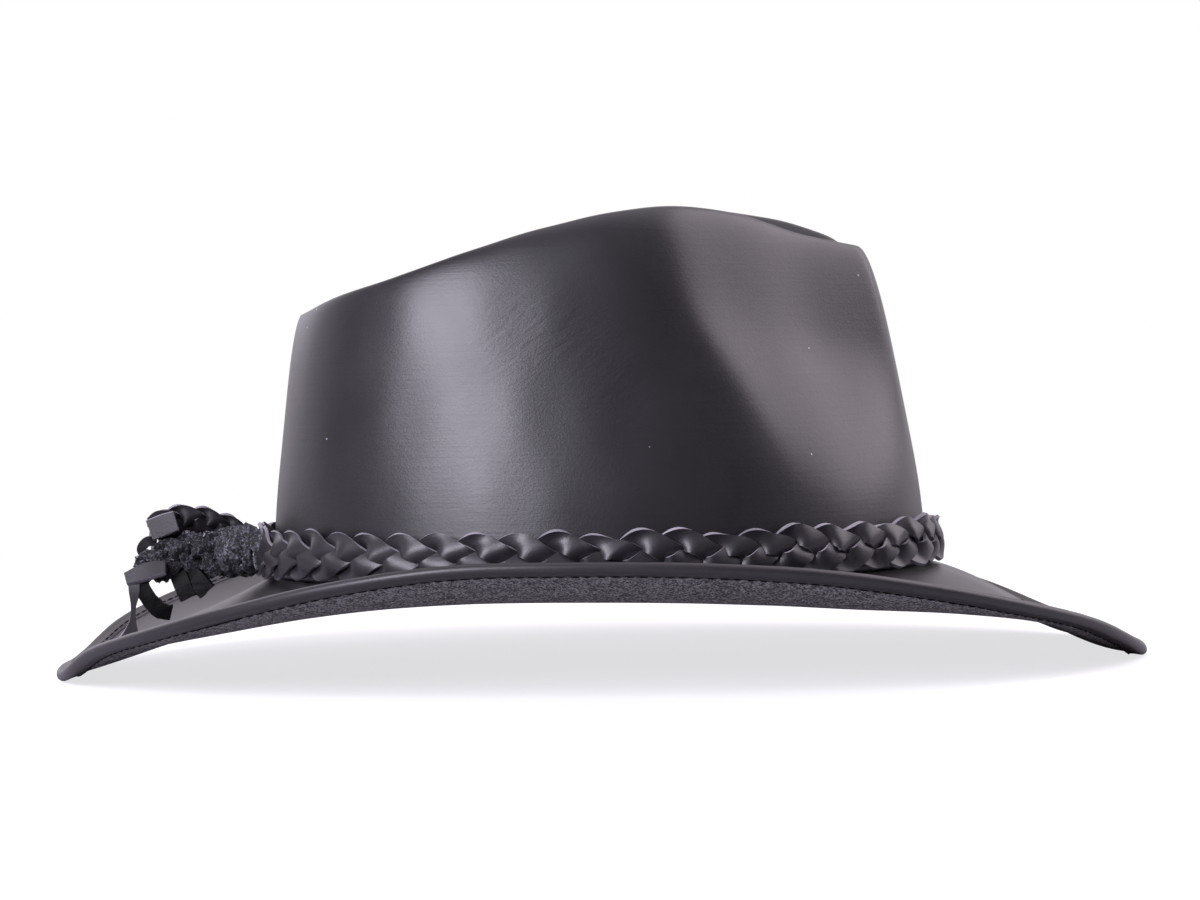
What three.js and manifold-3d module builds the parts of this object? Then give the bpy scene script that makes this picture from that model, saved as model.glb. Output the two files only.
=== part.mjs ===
// Black leather hat: a creased crown with a pinched front, a curled brim with a folded and stitched
// edge binding, and a hatband of three plaited strands with a knot and two tails at the back.
// Millimetres, +X to the front of the hat, +Z up, standing on the two tips of the brim at z = 0.
import * as THREE from 'three';
import { mergeVertices } from 'three/addons/utils/BufferGeometryUtils.js';
import Module from 'manifold-3d';

// Driving dimensions
const crownHalfLength = 104.5;
const crownHalfWidth = 88;
const crownHeight = 117.2;
const crownWall = 2;
const creaseDepth = 20;
const pinchHollow = 0.8;
const brimHalfLength = 172;
const brimHalfWidth = 151;
const brimThickness = 1.6;
const brimSideRise = 38.2;
const brimBaseHeight = 29.2;
const bindingWall = 1;
const bindingReach = 5.2;
const strandWidth = 4.8;
const strandThickness = 1.2;
const weaveSwing = 2.2;
const bandSeatGap = 0.4;
const bandWallGap = 0.3;
const bandHeight = 14.8;
const plaitRepeats = 17;
const knotLength = 7.5;
const knotWidth = 18;
const knotNearShift = 2;
const knotHeight = 19;
const tailThickness = 9.5;
const upperTailReach = 23.5;
const lowerTailReach = 31;
const looseStripThickness = 1.2;
const tipFlattening = 0.6;
const clearance = 0.35;

// How finely the surfaces are cut
const columnsRound = 56;
const stepsPerRepeat = 12;

const bindingHalfThickness = brimThickness / 2 + clearance + bindingWall;
const tipHeight = bindingHalfThickness - tipFlattening;
const brimTop = brimBaseHeight + brimThickness / 2;
const crownFoot = brimTop + clearance;

// The rim of the crown, from the front round to the back. along and across are shares of the
// crown's half length and half width, height is a share of its height, and dropNear is how much
// lower the rim stands on the near side (-Y), because the hand-shaped crown isn't quite even.
const rim = [
  { turn: 0, along: 0.813, across: 0, height: 0.871, dropNear: 0 },
  { turn: 15, along: 0.794, across: 0.148, height: 0.876, dropNear: 0.006 },
  { turn: 30, along: 0.737, across: 0.273, height: 0.905, dropNear: 0.032 },
  { turn: 45, along: 0.603, across: 0.36, height: 0.95, dropNear: 0.052 },
  { turn: 60, along: 0.431, across: 0.466, height: 0.988, dropNear: 0.047 },
  { turn: 75, along: 0.239, across: 0.58, height: 1, dropNear: 0.036 },
  { turn: 90, along: 0.048, across: 0.659, height: 0.98, dropNear: 0.027 },
  { turn: 105, along: -0.163, across: 0.693, height: 0.932, dropNear: 0.018 },
  { turn: 120, along: -0.392, across: 0.682, height: 0.866, dropNear: 0.009 },
  { turn: 135, along: -0.603, across: 0.602, height: 0.797, dropNear: 0 },
  { turn: 150, along: -0.775, across: 0.443, height: 0.752, dropNear: 0 },
  { turn: 165, along: -0.871, across: 0.239, height: 0.715, dropNear: 0 },
  { turn: 180, along: -0.9, across: 0, height: 0.707, dropNear: 0 },
];

// The crown's section, from its foot over the rim to the middle crease. inward runs from 0 on the
// foot's outline to 1 on the rim's and 2 on the crease, lift is a share of the rim's height, and
// sink a share of the crease's depth.
const section = [
  { inward: 0, lift: 0, sink: 0 },
  { inward: 0.125, lift: 0.25, sink: 0 },
  { inward: 0.335, lift: 0.5, sink: 0 },
  { inward: 0.57, lift: 0.75, sink: 0 },
  { inward: 0.76, lift: 0.9, sink: 0 },
  { inward: 0.93, lift: 0.98, sink: 0 },
  { inward: 1.08, lift: 1, sink: 0.03 },
  { inward: 1.24, lift: 1, sink: 0.22 },
  { inward: 1.5, lift: 1, sink: 0.62 },
  { inward: 1.77, lift: 1, sink: 0.92 },
  { inward: 2, lift: 1, sink: 1 },
];
const creaseShare = 0.72;

// The lower rim of the near side has evened out where the crease has sunk by this share.
const evenSink = 2 / 3;

// The brim from the front round to the back. rise is how high its edge stands, as a share of
// brimSideRise, and the slopes are those with which it leaves the crown and reaches its edge, up
// counted positive. Below restShare the edge lies level, as it does where the tips rest.
const curl = [
  { turn: 0, rise: 0, footSlope: -0.2, edgeSlope: 0 },
  { turn: 12, rise: 0.012, footSlope: -0.16, edgeSlope: 0.04 },
  { turn: 24, rise: 0.165, footSlope: -0.06, edgeSlope: 0.08 },
  { turn: 36, rise: 0.375, footSlope: -0.12, edgeSlope: 0.15 },
  { turn: 48, rise: 0.56, footSlope: -0.28, edgeSlope: 0.28 },
  { turn: 60, rise: 0.738, footSlope: -0.42, edgeSlope: 0.38 },
  { turn: 72, rise: 0.887, footSlope: -0.42, edgeSlope: 0.36 },
  { turn: 84, rise: 0.97, footSlope: -0.36, edgeSlope: 0.32 },
  { turn: 96, rise: 1, footSlope: -0.31, edgeSlope: 0.3 },
  { turn: 108, rise: 0.987, footSlope: -0.29, edgeSlope: 0.29 },
  { turn: 120, rise: 0.864, footSlope: -0.3, edgeSlope: 0.27 },
  { turn: 132, rise: 0.673, footSlope: -0.36, edgeSlope: 0.2 },
  { turn: 144, rise: 0.476, footSlope: -0.45, edgeSlope: 0.14 },
  { turn: 156, rise: 0.29, footSlope: -0.52, edgeSlope: 0.02 },
  { turn: 168, rise: 0.05, footSlope: -0.54, edgeSlope: -0.22 },
  { turn: 180, rise: 0, footSlope: -0.55, edgeSlope: -0.45 },
];
const restShare = 0.01;

// Each side of the front is pinched flat, from frontTurn back to a soft ridge. The rows give the
// ridge's turn at equal steps of lift up the crown, and softness is how wide its edge is rounded.
const ridge = [{ turn: 56 }, { turn: 58 }, { turn: 66 }, { turn: 76 }, { turn: 77 }];
const pinch = { frontTurn: 16, lowLift: 0.12, highLift: 0.7, softness: 1.2 };

const wasm = await Module();
wasm.setup();

const hat = new THREE.Group();

// A smooth value between a table's rows. mirror says how the table goes on past its ends: 1 where
// the other half repeats it, -1 where the other half has the opposite sign, 0 where it just ends.
function smoothValue(rows, key, place, mirror = 0) {
  const last = rows.length - 1;
  const at = Math.min(Math.max(place, 0), last);
  const i = Math.min(Math.floor(at), last - 1);
  const f = at - i;
  const a = rows[i][key];
  const b = rows[i + 1][key];
  const beforeFirst = mirror === 0 ? a : mirror * b;
  const afterLast = mirror === 0 ? b : mirror * a;
  const before = i > 0 ? rows[i - 1][key] : beforeFirst;
  const after = i + 2 > last ? afterLast : rows[i + 2][key];
  const slopeA = (b - before) / 2;
  const slopeB = (after - a) / 2;
  const f2 = f * f;
  const f3 = f2 * f;
  return (2 * f3 - 3 * f2 + 1) * a + (f3 - 2 * f2 + f) * slopeA
    + (3 * f2 - 2 * f3) * b + (f3 - f2) * slopeB;
}

// Where a turn in degrees, counted either way from the front, falls among a table's equal steps.
function placeOfTurn(rows, turn) {
  const folded = Math.abs(((turn + 180) % 360 + 360) % 360 - 180);
  return folded / 180 * (rows.length - 1);
}

function smoothStep(from, to, value) {
  const f = Math.min(Math.max((value - from) / (to - from), 0), 1);
  return f * f * (3 - 2 * f);
}

function crownOutline(turn) {
  const a = THREE.MathUtils.degToRad(turn);
  return new THREE.Vector2(crownHalfLength * Math.cos(a), crownHalfWidth * Math.sin(a));
}

function rimAt(turn) {
  const place = placeOfTurn(rim, turn);
  const side = Math.sin(THREE.MathUtils.degToRad(turn)) < 0 ? -1 : 1;
  const drop = side < 0 ? Math.max(smoothValue(rim, 'dropNear', place, 1), 0) : 0;
  const height = smoothValue(rim, 'height', place, 1) * crownHeight;
  return {
    plan: new THREE.Vector2(
      smoothValue(rim, 'along', place, 1) * crownHalfLength,
      side * smoothValue(rim, 'across', place, -1) * crownHalfWidth,
    ),
    height,
    loweredHeight: height - drop * crownHeight,
  };
}

// A point in plan between the crown's foot (inward 0) and its rim (inward 1), before the pinch.
function crownPlan(turn, inward) {
  return crownOutline(turn).lerp(rimAt(turn).plan, inward);
}

// How far the pinch presses a point of the plan inwards: down to the straight line from the front
// to the ridge, and a little hollow between them.
function pinchPress(point, inward, lift) {
  const front = crownPlan(pinch.frontTurn, inward);
  const back = crownPlan(smoothValue(ridge, 'turn', lift * (ridge.length - 1)), inward);
  const share = (point.x - back.x) / (front.x - back.x);
  const line = back.y + (front.y - back.y) * share;
  const hollow = pinchHollow * 4 * Math.max(share * (1 - share), 0);
  const proud = Math.abs(point.y) - line + hollow;
  const softened = (proud + Math.hypot(proud, pinch.softness)) / 2;
  return softened * smoothStep(pinch.lowLift, pinch.highLift, lift);
}

function crownPoint(turn, row) {
  const top = rimAt(turn);
  const inward = smoothValue(section, 'inward', row);
  const lift = smoothValue(section, 'lift', row);
  const sink = smoothValue(section, 'sink', row);
  const toRim = Math.min(inward, 1);
  const toCrease = Math.max(inward - 1, 0);
  const plan = crownPlan(turn, toRim);
  const press = Math.min(pinchPress(plan, toRim, lift) * (1 - toCrease), Math.abs(plan.y));
  const x = plan.x - top.plan.x * (1 - creaseShare) * toCrease;
  const y = plan.y - top.plan.y * toCrease - Math.sign(plan.y) * press;
  const endEase = 0.5 + 0.5 * Math.abs(Math.sin(THREE.MathUtils.degToRad(turn)));
  const rimHeight = THREE.MathUtils.lerp(top.loweredHeight, top.height, Math.min(sink / evenSink, 1));
  const z = crownFoot + rimHeight * lift - sink * creaseDepth * endEase;
  return new THREE.Vector3(x, y, z);
}

function crownNormal(turn, row) {
  const rowStep = 0.05;
  const turnStep = 1;
  const last = section.length - 1;
  const up = crownPoint(turn, Math.min(row + rowStep, last))
    .sub(crownPoint(turn, Math.max(row - rowStep, 0)));
  const round = crownPoint(turn + turnStep, row).sub(crownPoint(turn - turnStep, row));
  return round.cross(up).normalize();
}

// The middle of the brim's leather: spread is 0 at the crown's foot and 1 at the cut edge.
function brimPoint(turn, spread) {
  const a = THREE.MathUtils.degToRad(turn);
  const foot = crownOutline(turn);
  const edge = new THREE.Vector2(brimHalfLength * Math.cos(a), brimHalfWidth * Math.sin(a));
  const width = foot.distanceTo(edge);
  const plan = foot.lerp(edge, spread);
  const place = placeOfTurn(curl, turn);
  const rise = Math.max(smoothValue(curl, 'rise', place, 1) - restShare, 0);
  const footSlope = smoothValue(curl, 'footSlope', place, 1);
  const edgeSlope = smoothValue(curl, 'edgeSlope', place, 1);
  const edgeHeight = tipHeight + brimSideRise * rise;
  const s2 = spread * spread;
  const s3 = s2 * spread;
  const z = (2 * s3 - 3 * s2 + 1) * brimBaseHeight + (s3 - 2 * s2 + spread) * width * footSlope
    + (3 * s2 - 2 * s3) * edgeHeight + (s3 - s2) * width * edgeSlope;
  return new THREE.Vector3(plan.x, plan.y, z);
}

function brimWidth(turn) {
  const a = brimPoint(turn, 0);
  return Math.hypot(brimPoint(turn, 1).x - a.x, brimPoint(turn, 1).y - a.y);
}

function brimNormal(turn, spread) {
  const step = 0.02;
  const out = brimPoint(turn, spread + step).sub(brimPoint(turn, spread - step));
  const round = brimPoint(turn + 1, spread).sub(brimPoint(turn - 1, spread));
  return out.cross(round).normalize();
}

// The straight margin that the binding covers: its cut edge, its inner line and its own directions.
function hemFrame(turn) {
  const edge = brimPoint(turn, 1);
  const inner = brimPoint(turn, 1 - bindingReach / brimWidth(turn));
  const out = edge.clone().sub(inner).normalize();
  const round = brimPoint(turn + 1, 1).sub(brimPoint(turn - 1, 1));
  return { edge, inner, out, normal: out.clone().cross(round).normalize() };
}

function turnOf(column) {
  return column * 360 / columnsRound;
}

// A closed body from rings of equal length. The last ring joins the first, or each end is capped.
function bodyFromRings(rings, { loop = false } = {}) {
  const size = rings[0].length;
  const positions = [];
  for (const ring of rings) {
    for (const p of ring) positions.push(p.x, p.y, p.z);
  }
  const faces = [];
  const last = loop ? rings.length : rings.length - 1;
  for (let i = 0; i < last; i += 1) {
    const here = i * size;
    const next = ((i + 1) % rings.length) * size;
    for (let j = 0; j < size; j += 1) {
      const k = (j + 1) % size;
      faces.push(here + j, here + k, next + k, here + j, next + k, next + j);
    }
  }
  if (!loop) {
    for (let j = 1; j < size - 1; j += 1) {
      faces.push(0, j + 1, j);
      const end = (rings.length - 1) * size;
      faces.push(end, end + j, end + j + 1);
    }
  }
  return bodyFromFaces(positions, faces);
}

function bodyFromFaces(positions, faces) {
  const geometry = new THREE.BufferGeometry();
  geometry.setAttribute('position', new THREE.Float32BufferAttribute(positions, 3));
  geometry.setIndex(faces);
  return facingOut(mergeVertices(geometry, 1e-4));
}

// Turns every face round where the body came out inside-out.
function facingOut(geometry) {
  const p = geometry.getAttribute('position');
  const index = geometry.getIndex();
  let volume = 0;
  const a = new THREE.Vector3();
  const b = new THREE.Vector3();
  const c = new THREE.Vector3();
  for (let i = 0; i < index.count; i += 3) {
    a.fromBufferAttribute(p, index.getX(i));
    b.fromBufferAttribute(p, index.getX(i + 1));
    c.fromBufferAttribute(p, index.getX(i + 2));
    volume += a.dot(b.cross(c)) / 6;
  }
  if (volume < 0) {
    for (let i = 0; i < index.count; i += 3) {
      const second = index.getX(i + 1);
      index.setX(i + 1, index.getX(i + 2));
      index.setX(i + 2, second);
    }
  }
  return geometry;
}

function asSolid(geometry) {
  return new wasm.Manifold(new wasm.Mesh({
    numProp: 3,
    vertProperties: new Float32Array(geometry.getAttribute('position').array),
    triVerts: new Uint32Array(geometry.getIndex().array),
  }));
}

function fused(geometries) {
  let solid = asSolid(geometries[0]);
  for (const g of geometries.slice(1)) solid = solid.add(asSolid(g));
  const mesh = solid.getMesh();
  const geometry = new THREE.BufferGeometry();
  geometry.setAttribute('position', new THREE.Float32BufferAttribute(mesh.vertProperties, 3));
  geometry.setIndex(Array.from(mesh.triVerts));
  return geometry;
}

function leather(color, roughness) {
  return new THREE.MeshStandardMaterial({ color, roughness, metalness: 0 });
}

function addPiece(name, geometry, material) {
  geometry.computeVertexNormals();
  const mesh = new THREE.Mesh(geometry, material);
  mesh.name = name;
  hat.add(mesh);
}

// Crown: one moulded shell, open at the foot, its outer and inner skins one wall apart
function crownBody() {
  const rows = section.length;
  const positions = [];
  const faces = [];
  for (const inside of [0, 1]) {
    for (let i = 0; i < columnsRound; i += 1) {
      for (let j = 0; j < rows; j += 1) {
        const turn = turnOf(i);
        const p = crownPoint(turn, j);
        if (inside) {
          const atCrease = j === rows - 1;
          const n = atCrease ? new THREE.Vector3(0, 0, 1) : crownNormal(turn, j);
          if (j === 0) n.setZ(0).normalize();
          p.addScaledVector(n, -crownWall);
        }
        positions.push(p.x, j === rows - 1 ? 0 : p.y, p.z);
      }
    }
  }
  const at = (inside, i, j) => (inside * columnsRound + (i % columnsRound)) * rows + j;
  for (let i = 0; i < columnsRound; i += 1) {
    for (let j = 0; j < rows - 1; j += 1) {
      const outer = [at(0, i, j), at(0, i + 1, j), at(0, i + 1, j + 1), at(0, i, j + 1)];
      const inner = [at(1, i, j), at(1, i + 1, j), at(1, i + 1, j + 1), at(1, i, j + 1)];
      faces.push(outer[0], outer[1], outer[2], outer[0], outer[2], outer[3]);
      faces.push(inner[0], inner[2], inner[1], inner[0], inner[3], inner[2]);
    }
    faces.push(at(0, i, 0), at(1, i, 0), at(1, i + 1, 0));
    faces.push(at(0, i, 0), at(1, i + 1, 0), at(0, i + 1, 0));
  }
  return bodyFromFaces(positions, faces);
}

// Brim: a curled ring of leather that carries the crown on its flat inner margin
function brimBody() {
  const spreads = [0, 0.22, 0.45, 0.68];
  const half = brimThickness / 2;
  const rings = [];
  for (let i = 0; i < columnsRound; i += 1) {
    const turn = turnOf(i);
    const foot = crownOutline(turn);
    const lip = crownOutline(turn).multiplyScalar(1 - crownWall / foot.length());
    const top = [new THREE.Vector3(lip.x, lip.y, brimTop)];
    const under = [new THREE.Vector3(lip.x, lip.y, brimBaseHeight - half)];
    for (const spread of spreads) {
      const middle = brimPoint(turn, spread);
      const n = spread === 0 ? new THREE.Vector3(0, 0, 1) : brimNormal(turn, spread);
      top.push(middle.clone().addScaledVector(n, half));
      under.push(middle.clone().addScaledVector(n, -half));
    }
    const hem = hemFrame(turn);
    for (const middle of [hem.inner, hem.edge]) {
      top.push(middle.clone().addScaledVector(hem.normal, half));
      under.push(middle.clone().addScaledVector(hem.normal, -half));
    }
    rings.push([...top, ...under.reverse()]);
  }
  return bodyFromRings(rings, { loop: true });
}

// Binding: a strip of leather folded over the brim's edge, pressed flat where the tips rest
function bindingBody() {
  const inside = brimThickness / 2 + clearance;
  const outside = bindingHalfThickness;
  const beadMiddle = clearance + bindingWall - outside;
  const round = (angle) => {
    const a = THREE.MathUtils.degToRad(angle);
    return [beadMiddle + outside * Math.cos(a), outside * Math.sin(a)];
  };
  const outline = [
    [-bindingReach, inside], [clearance, inside], [clearance, -inside], [-bindingReach, -inside],
    [-bindingReach, -outside], round(-90), round(-45), round(0), round(45), round(90),
    [-bindingReach, outside],
  ];
  const rings = [];
  for (let i = 0; i < columnsRound; i += 1) {
    const { edge, out, normal } = hemFrame(turnOf(i));
    rings.push(outline.map(([reach, up]) => {
      const p = edge.clone().addScaledVector(out, reach).addScaledVector(normal, up);
      return p.setZ(Math.max(p.z, 0));
    }));
  }
  return bodyFromRings(rings, { loop: true });
}

// Hatband: three flat strands plaited round the foot of the crown
const sway = (bandHeight - strandWidth) / 2;
const weaveDepth = strandThickness / 2 + weaveSwing;
const strandLean = 0.24;
const wallLean = 0.1;
const plaitHalfDepth = weaveDepth + strandThickness / 2;
const bandMiddle = brimTop + 2 * clearance + bandHeight / 2 + bandSeatGap;

function bandPath() {
  const points = [];
  const row = (bandMiddle - crownFoot) / crownHeight / section[1].lift;
  for (let i = 0; i < columnsRound; i += 1) {
    const p = crownPoint(turnOf(i), row);
    const n = crownNormal(turnOf(i), row).setZ(0).normalize();
    p.addScaledVector(n, clearance + plaitHalfDepth + bandWallGap);
    points.push(p.setZ(bandMiddle));
  }
  return new THREE.CatmullRomCurve3(points, true);
}

function strandBody(strand) {
  const path = bandPath();
  path.arcLengthDivisions = 2000;
  const steps = plaitRepeats * stepsPerRepeat;
  const rings = [];
  for (let i = 0; i < steps; i += 1) {
    const u = i / steps;
    const phase = 2 * Math.PI * (u * plaitRepeats + strand / 3);
    const middle = path.getPointAt(u);
    const along = path.getTangentAt(u);
    const out = new THREE.Vector3(along.y, -along.x, 0).normalize();
    const up = new THREE.Vector3(0, 0, 1).addScaledVector(out, -wallLean).normalize();
    const rise = sway * Math.sin(phase);
    const depth = -weaveDepth * Math.sin(2 * phase);
    const lean = -strandLean * Math.cos(3 * phase);
    const turned = Math.hypot(1, lean);
    const ring = [[-1, -1], [1, -1], [1, 1], [-1, 1]].map(([across, thick]) => {
      const q = across * strandWidth / 2;
      const t = thick * strandThickness / 2;
      return middle.clone()
        .addScaledVector(up, rise + q - t * lean / turned)
        .addScaledVector(out, depth + lean * q + t / turned);
    });
    rings.push(ring);
  }
  return bodyFromRings(rings, { loop: true });
}

// Knot: the wrapped lump at the back that gathers both ends of the plait
const bandBack = -(crownHalfLength + 2 * (clearance + plaitHalfDepth + bandWallGap));
const knotMiddle = new THREE.Vector3(bandBack - clearance - knotLength / 2, -knotNearShift, bandMiddle);

function knotBody() {
  const rows = [
    { along: -0.5, size: 0.72 },
    { along: -0.36, size: 0.95 },
    { along: -0.12, size: 0.88 },
    { along: 0.12, size: 1 },
    { along: 0.36, size: 0.9 },
    { along: 0.5, size: 0.7 },
  ];
  const sides = 12;
  const twist = 0.3;
  const lumpiness = 0.05;
  const rings = rows.map(({ along, size }, i) => {
    const ring = [];
    for (let k = 0; k < sides; k += 1) {
      const a = 2 * Math.PI * (k + twist * i) / sides;
      const lump = 1 + lumpiness * Math.cos(3 * a + i);
      ring.push(new THREE.Vector3(
        knotMiddle.x + along * knotLength,
        knotMiddle.y + knotWidth / 2 * size * lump * Math.cos(a),
        knotMiddle.z + knotHeight / 2 * size * lump * Math.sin(a),
      ));
    }
    return ring;
  });
  return bodyFromRings(rings);
}

// Tails: each is a short stretch of plait that stands off the knot to the back. along and across
// are shares of the tail's reach, lift and size shares of its thickness.
const knotBack = knotMiddle.x - knotLength / 2 - clearance;
const upperTail = [
  { along: 0, across: 0.04, lift: 0.75, size: 0.62 },
  { along: 0.2, across: 0.06, lift: 0.95, size: 0.8 },
  { along: 0.42, across: 0.06, lift: 1.02, size: 0.92 },
  { along: 0.65, across: 0.05, lift: 1.0, size: 1 },
  { along: 0.86, across: 0.03, lift: 0.88, size: 1 },
  { along: 1, across: 0.01, lift: 0.7, size: 0.85 },
];
const lowerTail = [
  { along: 0, across: -0.04, lift: -0.25, size: 1.25 },
  { along: 0.2, across: -0.06, lift: -0.2, size: 1.25 },
  { along: 0.4, across: -0.07, lift: -0.2, size: 1.2 },
  { along: 0.6, across: -0.08, lift: -0.36, size: 1.12 },
  { along: 0.8, across: -0.09, lift: -0.6, size: 0.95 },
  { along: 1, across: -0.1, lift: -0.85, size: 0.6 },
];

function tailPoint(rows, reach, share) {
  const place = share * (rows.length - 1);
  return new THREE.Vector3(
    knotBack - smoothValue(rows, 'along', place) * reach,
    knotMiddle.y + smoothValue(rows, 'across', place) * reach,
    knotMiddle.z + smoothValue(rows, 'lift', place) * tailThickness,
  );
}

function tailBody(rows, reach) {
  const steps = 16;
  const sides = 8;
  const flatness = 0.85;
  const lumpiness = 0.1;
  const step = 0.02;
  const rings = [];
  for (let i = 0; i <= steps; i += 1) {
    const share = i / steps;
    const middle = tailPoint(rows, reach, share);
    const ahead = tailPoint(rows, reach, Math.min(share + step, 1));
    const behind = tailPoint(rows, reach, Math.max(share - step, 0));
    const along = i === 0 ? new THREE.Vector3(-1, 0, 0) : ahead.sub(behind).normalize();
    const side = new THREE.Vector3(0, 1, 0);
    const up = side.clone().cross(along).normalize();
    const radius = tailThickness / 2 * smoothValue(rows, 'size', share * (rows.length - 1));
    const ring = [];
    for (let k = 0; k < sides; k += 1) {
      const a = 2 * Math.PI * k / sides;
      const lump = 1 - lumpiness / 2 + lumpiness * Math.cos(i * Math.PI / 2 + (k % 2) * Math.PI);
      ring.push(middle.clone()
        .addScaledVector(side, radius * flatness * lump * Math.cos(a))
        .addScaledVector(up, radius * lump * Math.sin(a)));
    }
    rings.push(ring);
  }
  return bodyFromRings(rings);
}

// A loose end of one strand: a flat strip through a few rows. along and lift are shares of
// tailThickness from the strip's root, and wide is a share of strandWidth.
function looseStrip(root, rows) {
  const steps = rows.length * 2 - 2;
  const step = 0.05;
  const spot = (share) => {
    const place = share * (rows.length - 1);
    return new THREE.Vector3(
      root.x + smoothValue(rows, 'along', place) * tailThickness,
      root.y + smoothValue(rows, 'across', place) * tailThickness,
      root.z + smoothValue(rows, 'lift', place) * tailThickness,
    );
  };
  const rings = [];
  for (let i = 0; i <= steps; i += 1) {
    const share = i / steps;
    const place = share * (rows.length - 1);
    const along = spot(Math.min(share + step, 1)).sub(spot(Math.max(share - step, 0))).normalize();
    const facing = smoothValue(rows, 'facing', place) * Math.PI / 180;
    const flat = new THREE.Vector3(Math.sin(facing), Math.cos(facing), 0);
    const across = along.clone().cross(flat).normalize();
    const thin = across.clone().cross(along).normalize();
    const half = strandWidth / 2 * smoothValue(rows, 'wide', place);
    const middle = spot(share);
    rings.push([[-1, -1], [1, -1], [1, 1], [-1, 1]].map(([a, b]) => middle.clone()
      .addScaledVector(across, a * half)
      .addScaledVector(thin, b * looseStripThickness / 2)));
  }
  return bodyFromRings(rings);
}

function lowerTailBody() {
  const at = (share) => tailPoint(lowerTail, lowerTailReach, share);
  const thin = [
    { along: 0.05, across: 0, lift: 0.1, wide: 0.8, facing: 5 },
    { along: -0.05, across: 0.0, lift: -0.5, wide: 0.6, facing: 8 },
    { along: -0.02, across: 0.02, lift: -1.0, wide: 0.4, facing: 12 },
    { along: -0.08, across: 0.04, lift: -1.5, wide: 0.85, facing: 18 },
  ];
  const curled = [
    { along: 0, across: 0, lift: 0.1, wide: 1, facing: 20 },
    { along: 0.12, across: 0, lift: -0.38, wide: 1, facing: 10 },
    { along: 0.4, across: 0, lift: -0.85, wide: 1, facing: 0 },
    { along: 0.85, across: 0, lift: -1.15, wide: 0.95, facing: -10 },
  ];
  const pointed = [
    { along: 0, across: 0, lift: 0.2, wide: 1.3, facing: 4 },
    { along: 0.12, across: 0, lift: -0.3, wide: 1.3, facing: 2 },
    { along: 0.4, across: 0, lift: -0.62, wide: 1.3, facing: 0 },
    { along: 0.75, across: 0, lift: -0.82, wide: 1.1, facing: 0 },
  ];
  const end = at(0.96);
  return fused([
    tailBody(lowerTail, lowerTailReach),
    looseStrip(end, thin),
    looseStrip(at(0.86), curled),
    looseStrip(at(0.5), pointed),
  ]);
}

function upperTailBody() {
  const curled = [
    { along: 0, across: 0, lift: 0.1, wide: 0.8, facing: 0 },
    { along: -0.15, across: 0, lift: -0.35, wide: 0.8, facing: 0 },
    { along: 0.02, across: 0, lift: -0.75, wide: 0.75, facing: 0 },
  ];
  return fused([
    tailBody(upperTail, upperTailReach),
    looseStrip(tailPoint(upperTail, upperTailReach, 0.97), curled),
  ]);
}

addPiece('crown', crownBody(), leather(0x1b191d, 0.35));
addPiece('brim', brimBody(), leather(0x222024, 0.45));
addPiece('edge_binding', bindingBody(), leather(0x252328, 0.42));
for (let strand = 0; strand < 3; strand += 1) {
  addPiece(`band_strand_${strand + 1}`, strandBody(strand), leather(0x1f1d21, 0.45));
}
addPiece('band_knot', knotBody(), leather(0x1a191c, 0.8));
addPiece('tail_upper', upperTailBody(), leather(0x1f1d21, 0.5));
addPiece('tail_lower', lowerTailBody(), leather(0x1f1e22, 0.75));

export default hat;
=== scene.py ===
"""A black leather hat: moulded crown, curled brim with a stitched binding, and a plaited band.

Metres, +X to the front of the hat, +Z up. The frame holds the plain solids at their real size, and
this script dresses them: each soft piece gets its fine surface, its leather and its stitching.
"""

import math

import bmesh
import bpy
import numpy as np
from mathutils import Matrix, Vector


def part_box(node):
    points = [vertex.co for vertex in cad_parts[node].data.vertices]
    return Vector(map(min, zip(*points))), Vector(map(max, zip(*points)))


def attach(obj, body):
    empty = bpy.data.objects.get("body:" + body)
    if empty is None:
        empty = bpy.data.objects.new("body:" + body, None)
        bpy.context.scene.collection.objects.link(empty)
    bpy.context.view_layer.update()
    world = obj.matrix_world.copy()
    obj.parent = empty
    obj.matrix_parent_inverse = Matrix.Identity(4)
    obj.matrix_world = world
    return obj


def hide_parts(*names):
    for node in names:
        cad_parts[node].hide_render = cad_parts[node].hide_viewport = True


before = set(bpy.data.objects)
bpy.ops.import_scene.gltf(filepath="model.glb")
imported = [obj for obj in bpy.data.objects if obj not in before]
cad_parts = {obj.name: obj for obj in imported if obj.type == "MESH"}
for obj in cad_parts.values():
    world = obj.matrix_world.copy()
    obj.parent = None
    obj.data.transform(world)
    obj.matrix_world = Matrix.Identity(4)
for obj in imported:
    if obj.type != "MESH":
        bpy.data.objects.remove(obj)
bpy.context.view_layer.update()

MM = 0.001
TAU = 2 * math.pi

# Sizes read from the frame
crown_low, crown_high = (np.array(c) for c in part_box("crown"))
knot_low, knot_high = (np.array(c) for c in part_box("band_knot"))
strand_low, strand_high = (np.array(c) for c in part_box("band_strand_1"))

# Leather and workmanship
CROWN_WALL = 2 * MM
BRIM_THICKNESS = 1.6 * MM
HEM_HALF = 1.75 * MM
BINDING_REACH = 5.2 * MM
BINDING_OVERHANG = 1.35 * MM
CLEARANCE = 0.35 * MM
TIP_HEIGHT = 1.55 * MM
CREASE_DEPTH = 20 * MM
EVEN_SINK = 2 / 3
PINCH_HOLLOW = 0.8 * MM
PINCH_SOFTNESS = 2.4 * MM
BRIM_RISE = 38.2 * MM
STITCH_PITCH = 3.8 * MM
STITCH_LENGTH = 2.9 * MM
STITCH_INSET = 4.3 * MM
STITCH_HEIGHT = 1.36 * MM
THREAD_RADIUS = 0.34 * MM
CROWN_WAVES = 0.35 * MM
CROWN_DENTS = 0.16 * MM
WAVES_FROM_FOOT = 30 * MM
RIM_ROW = 8
STRAND_THICKNESS = 1.2 * MM
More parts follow.
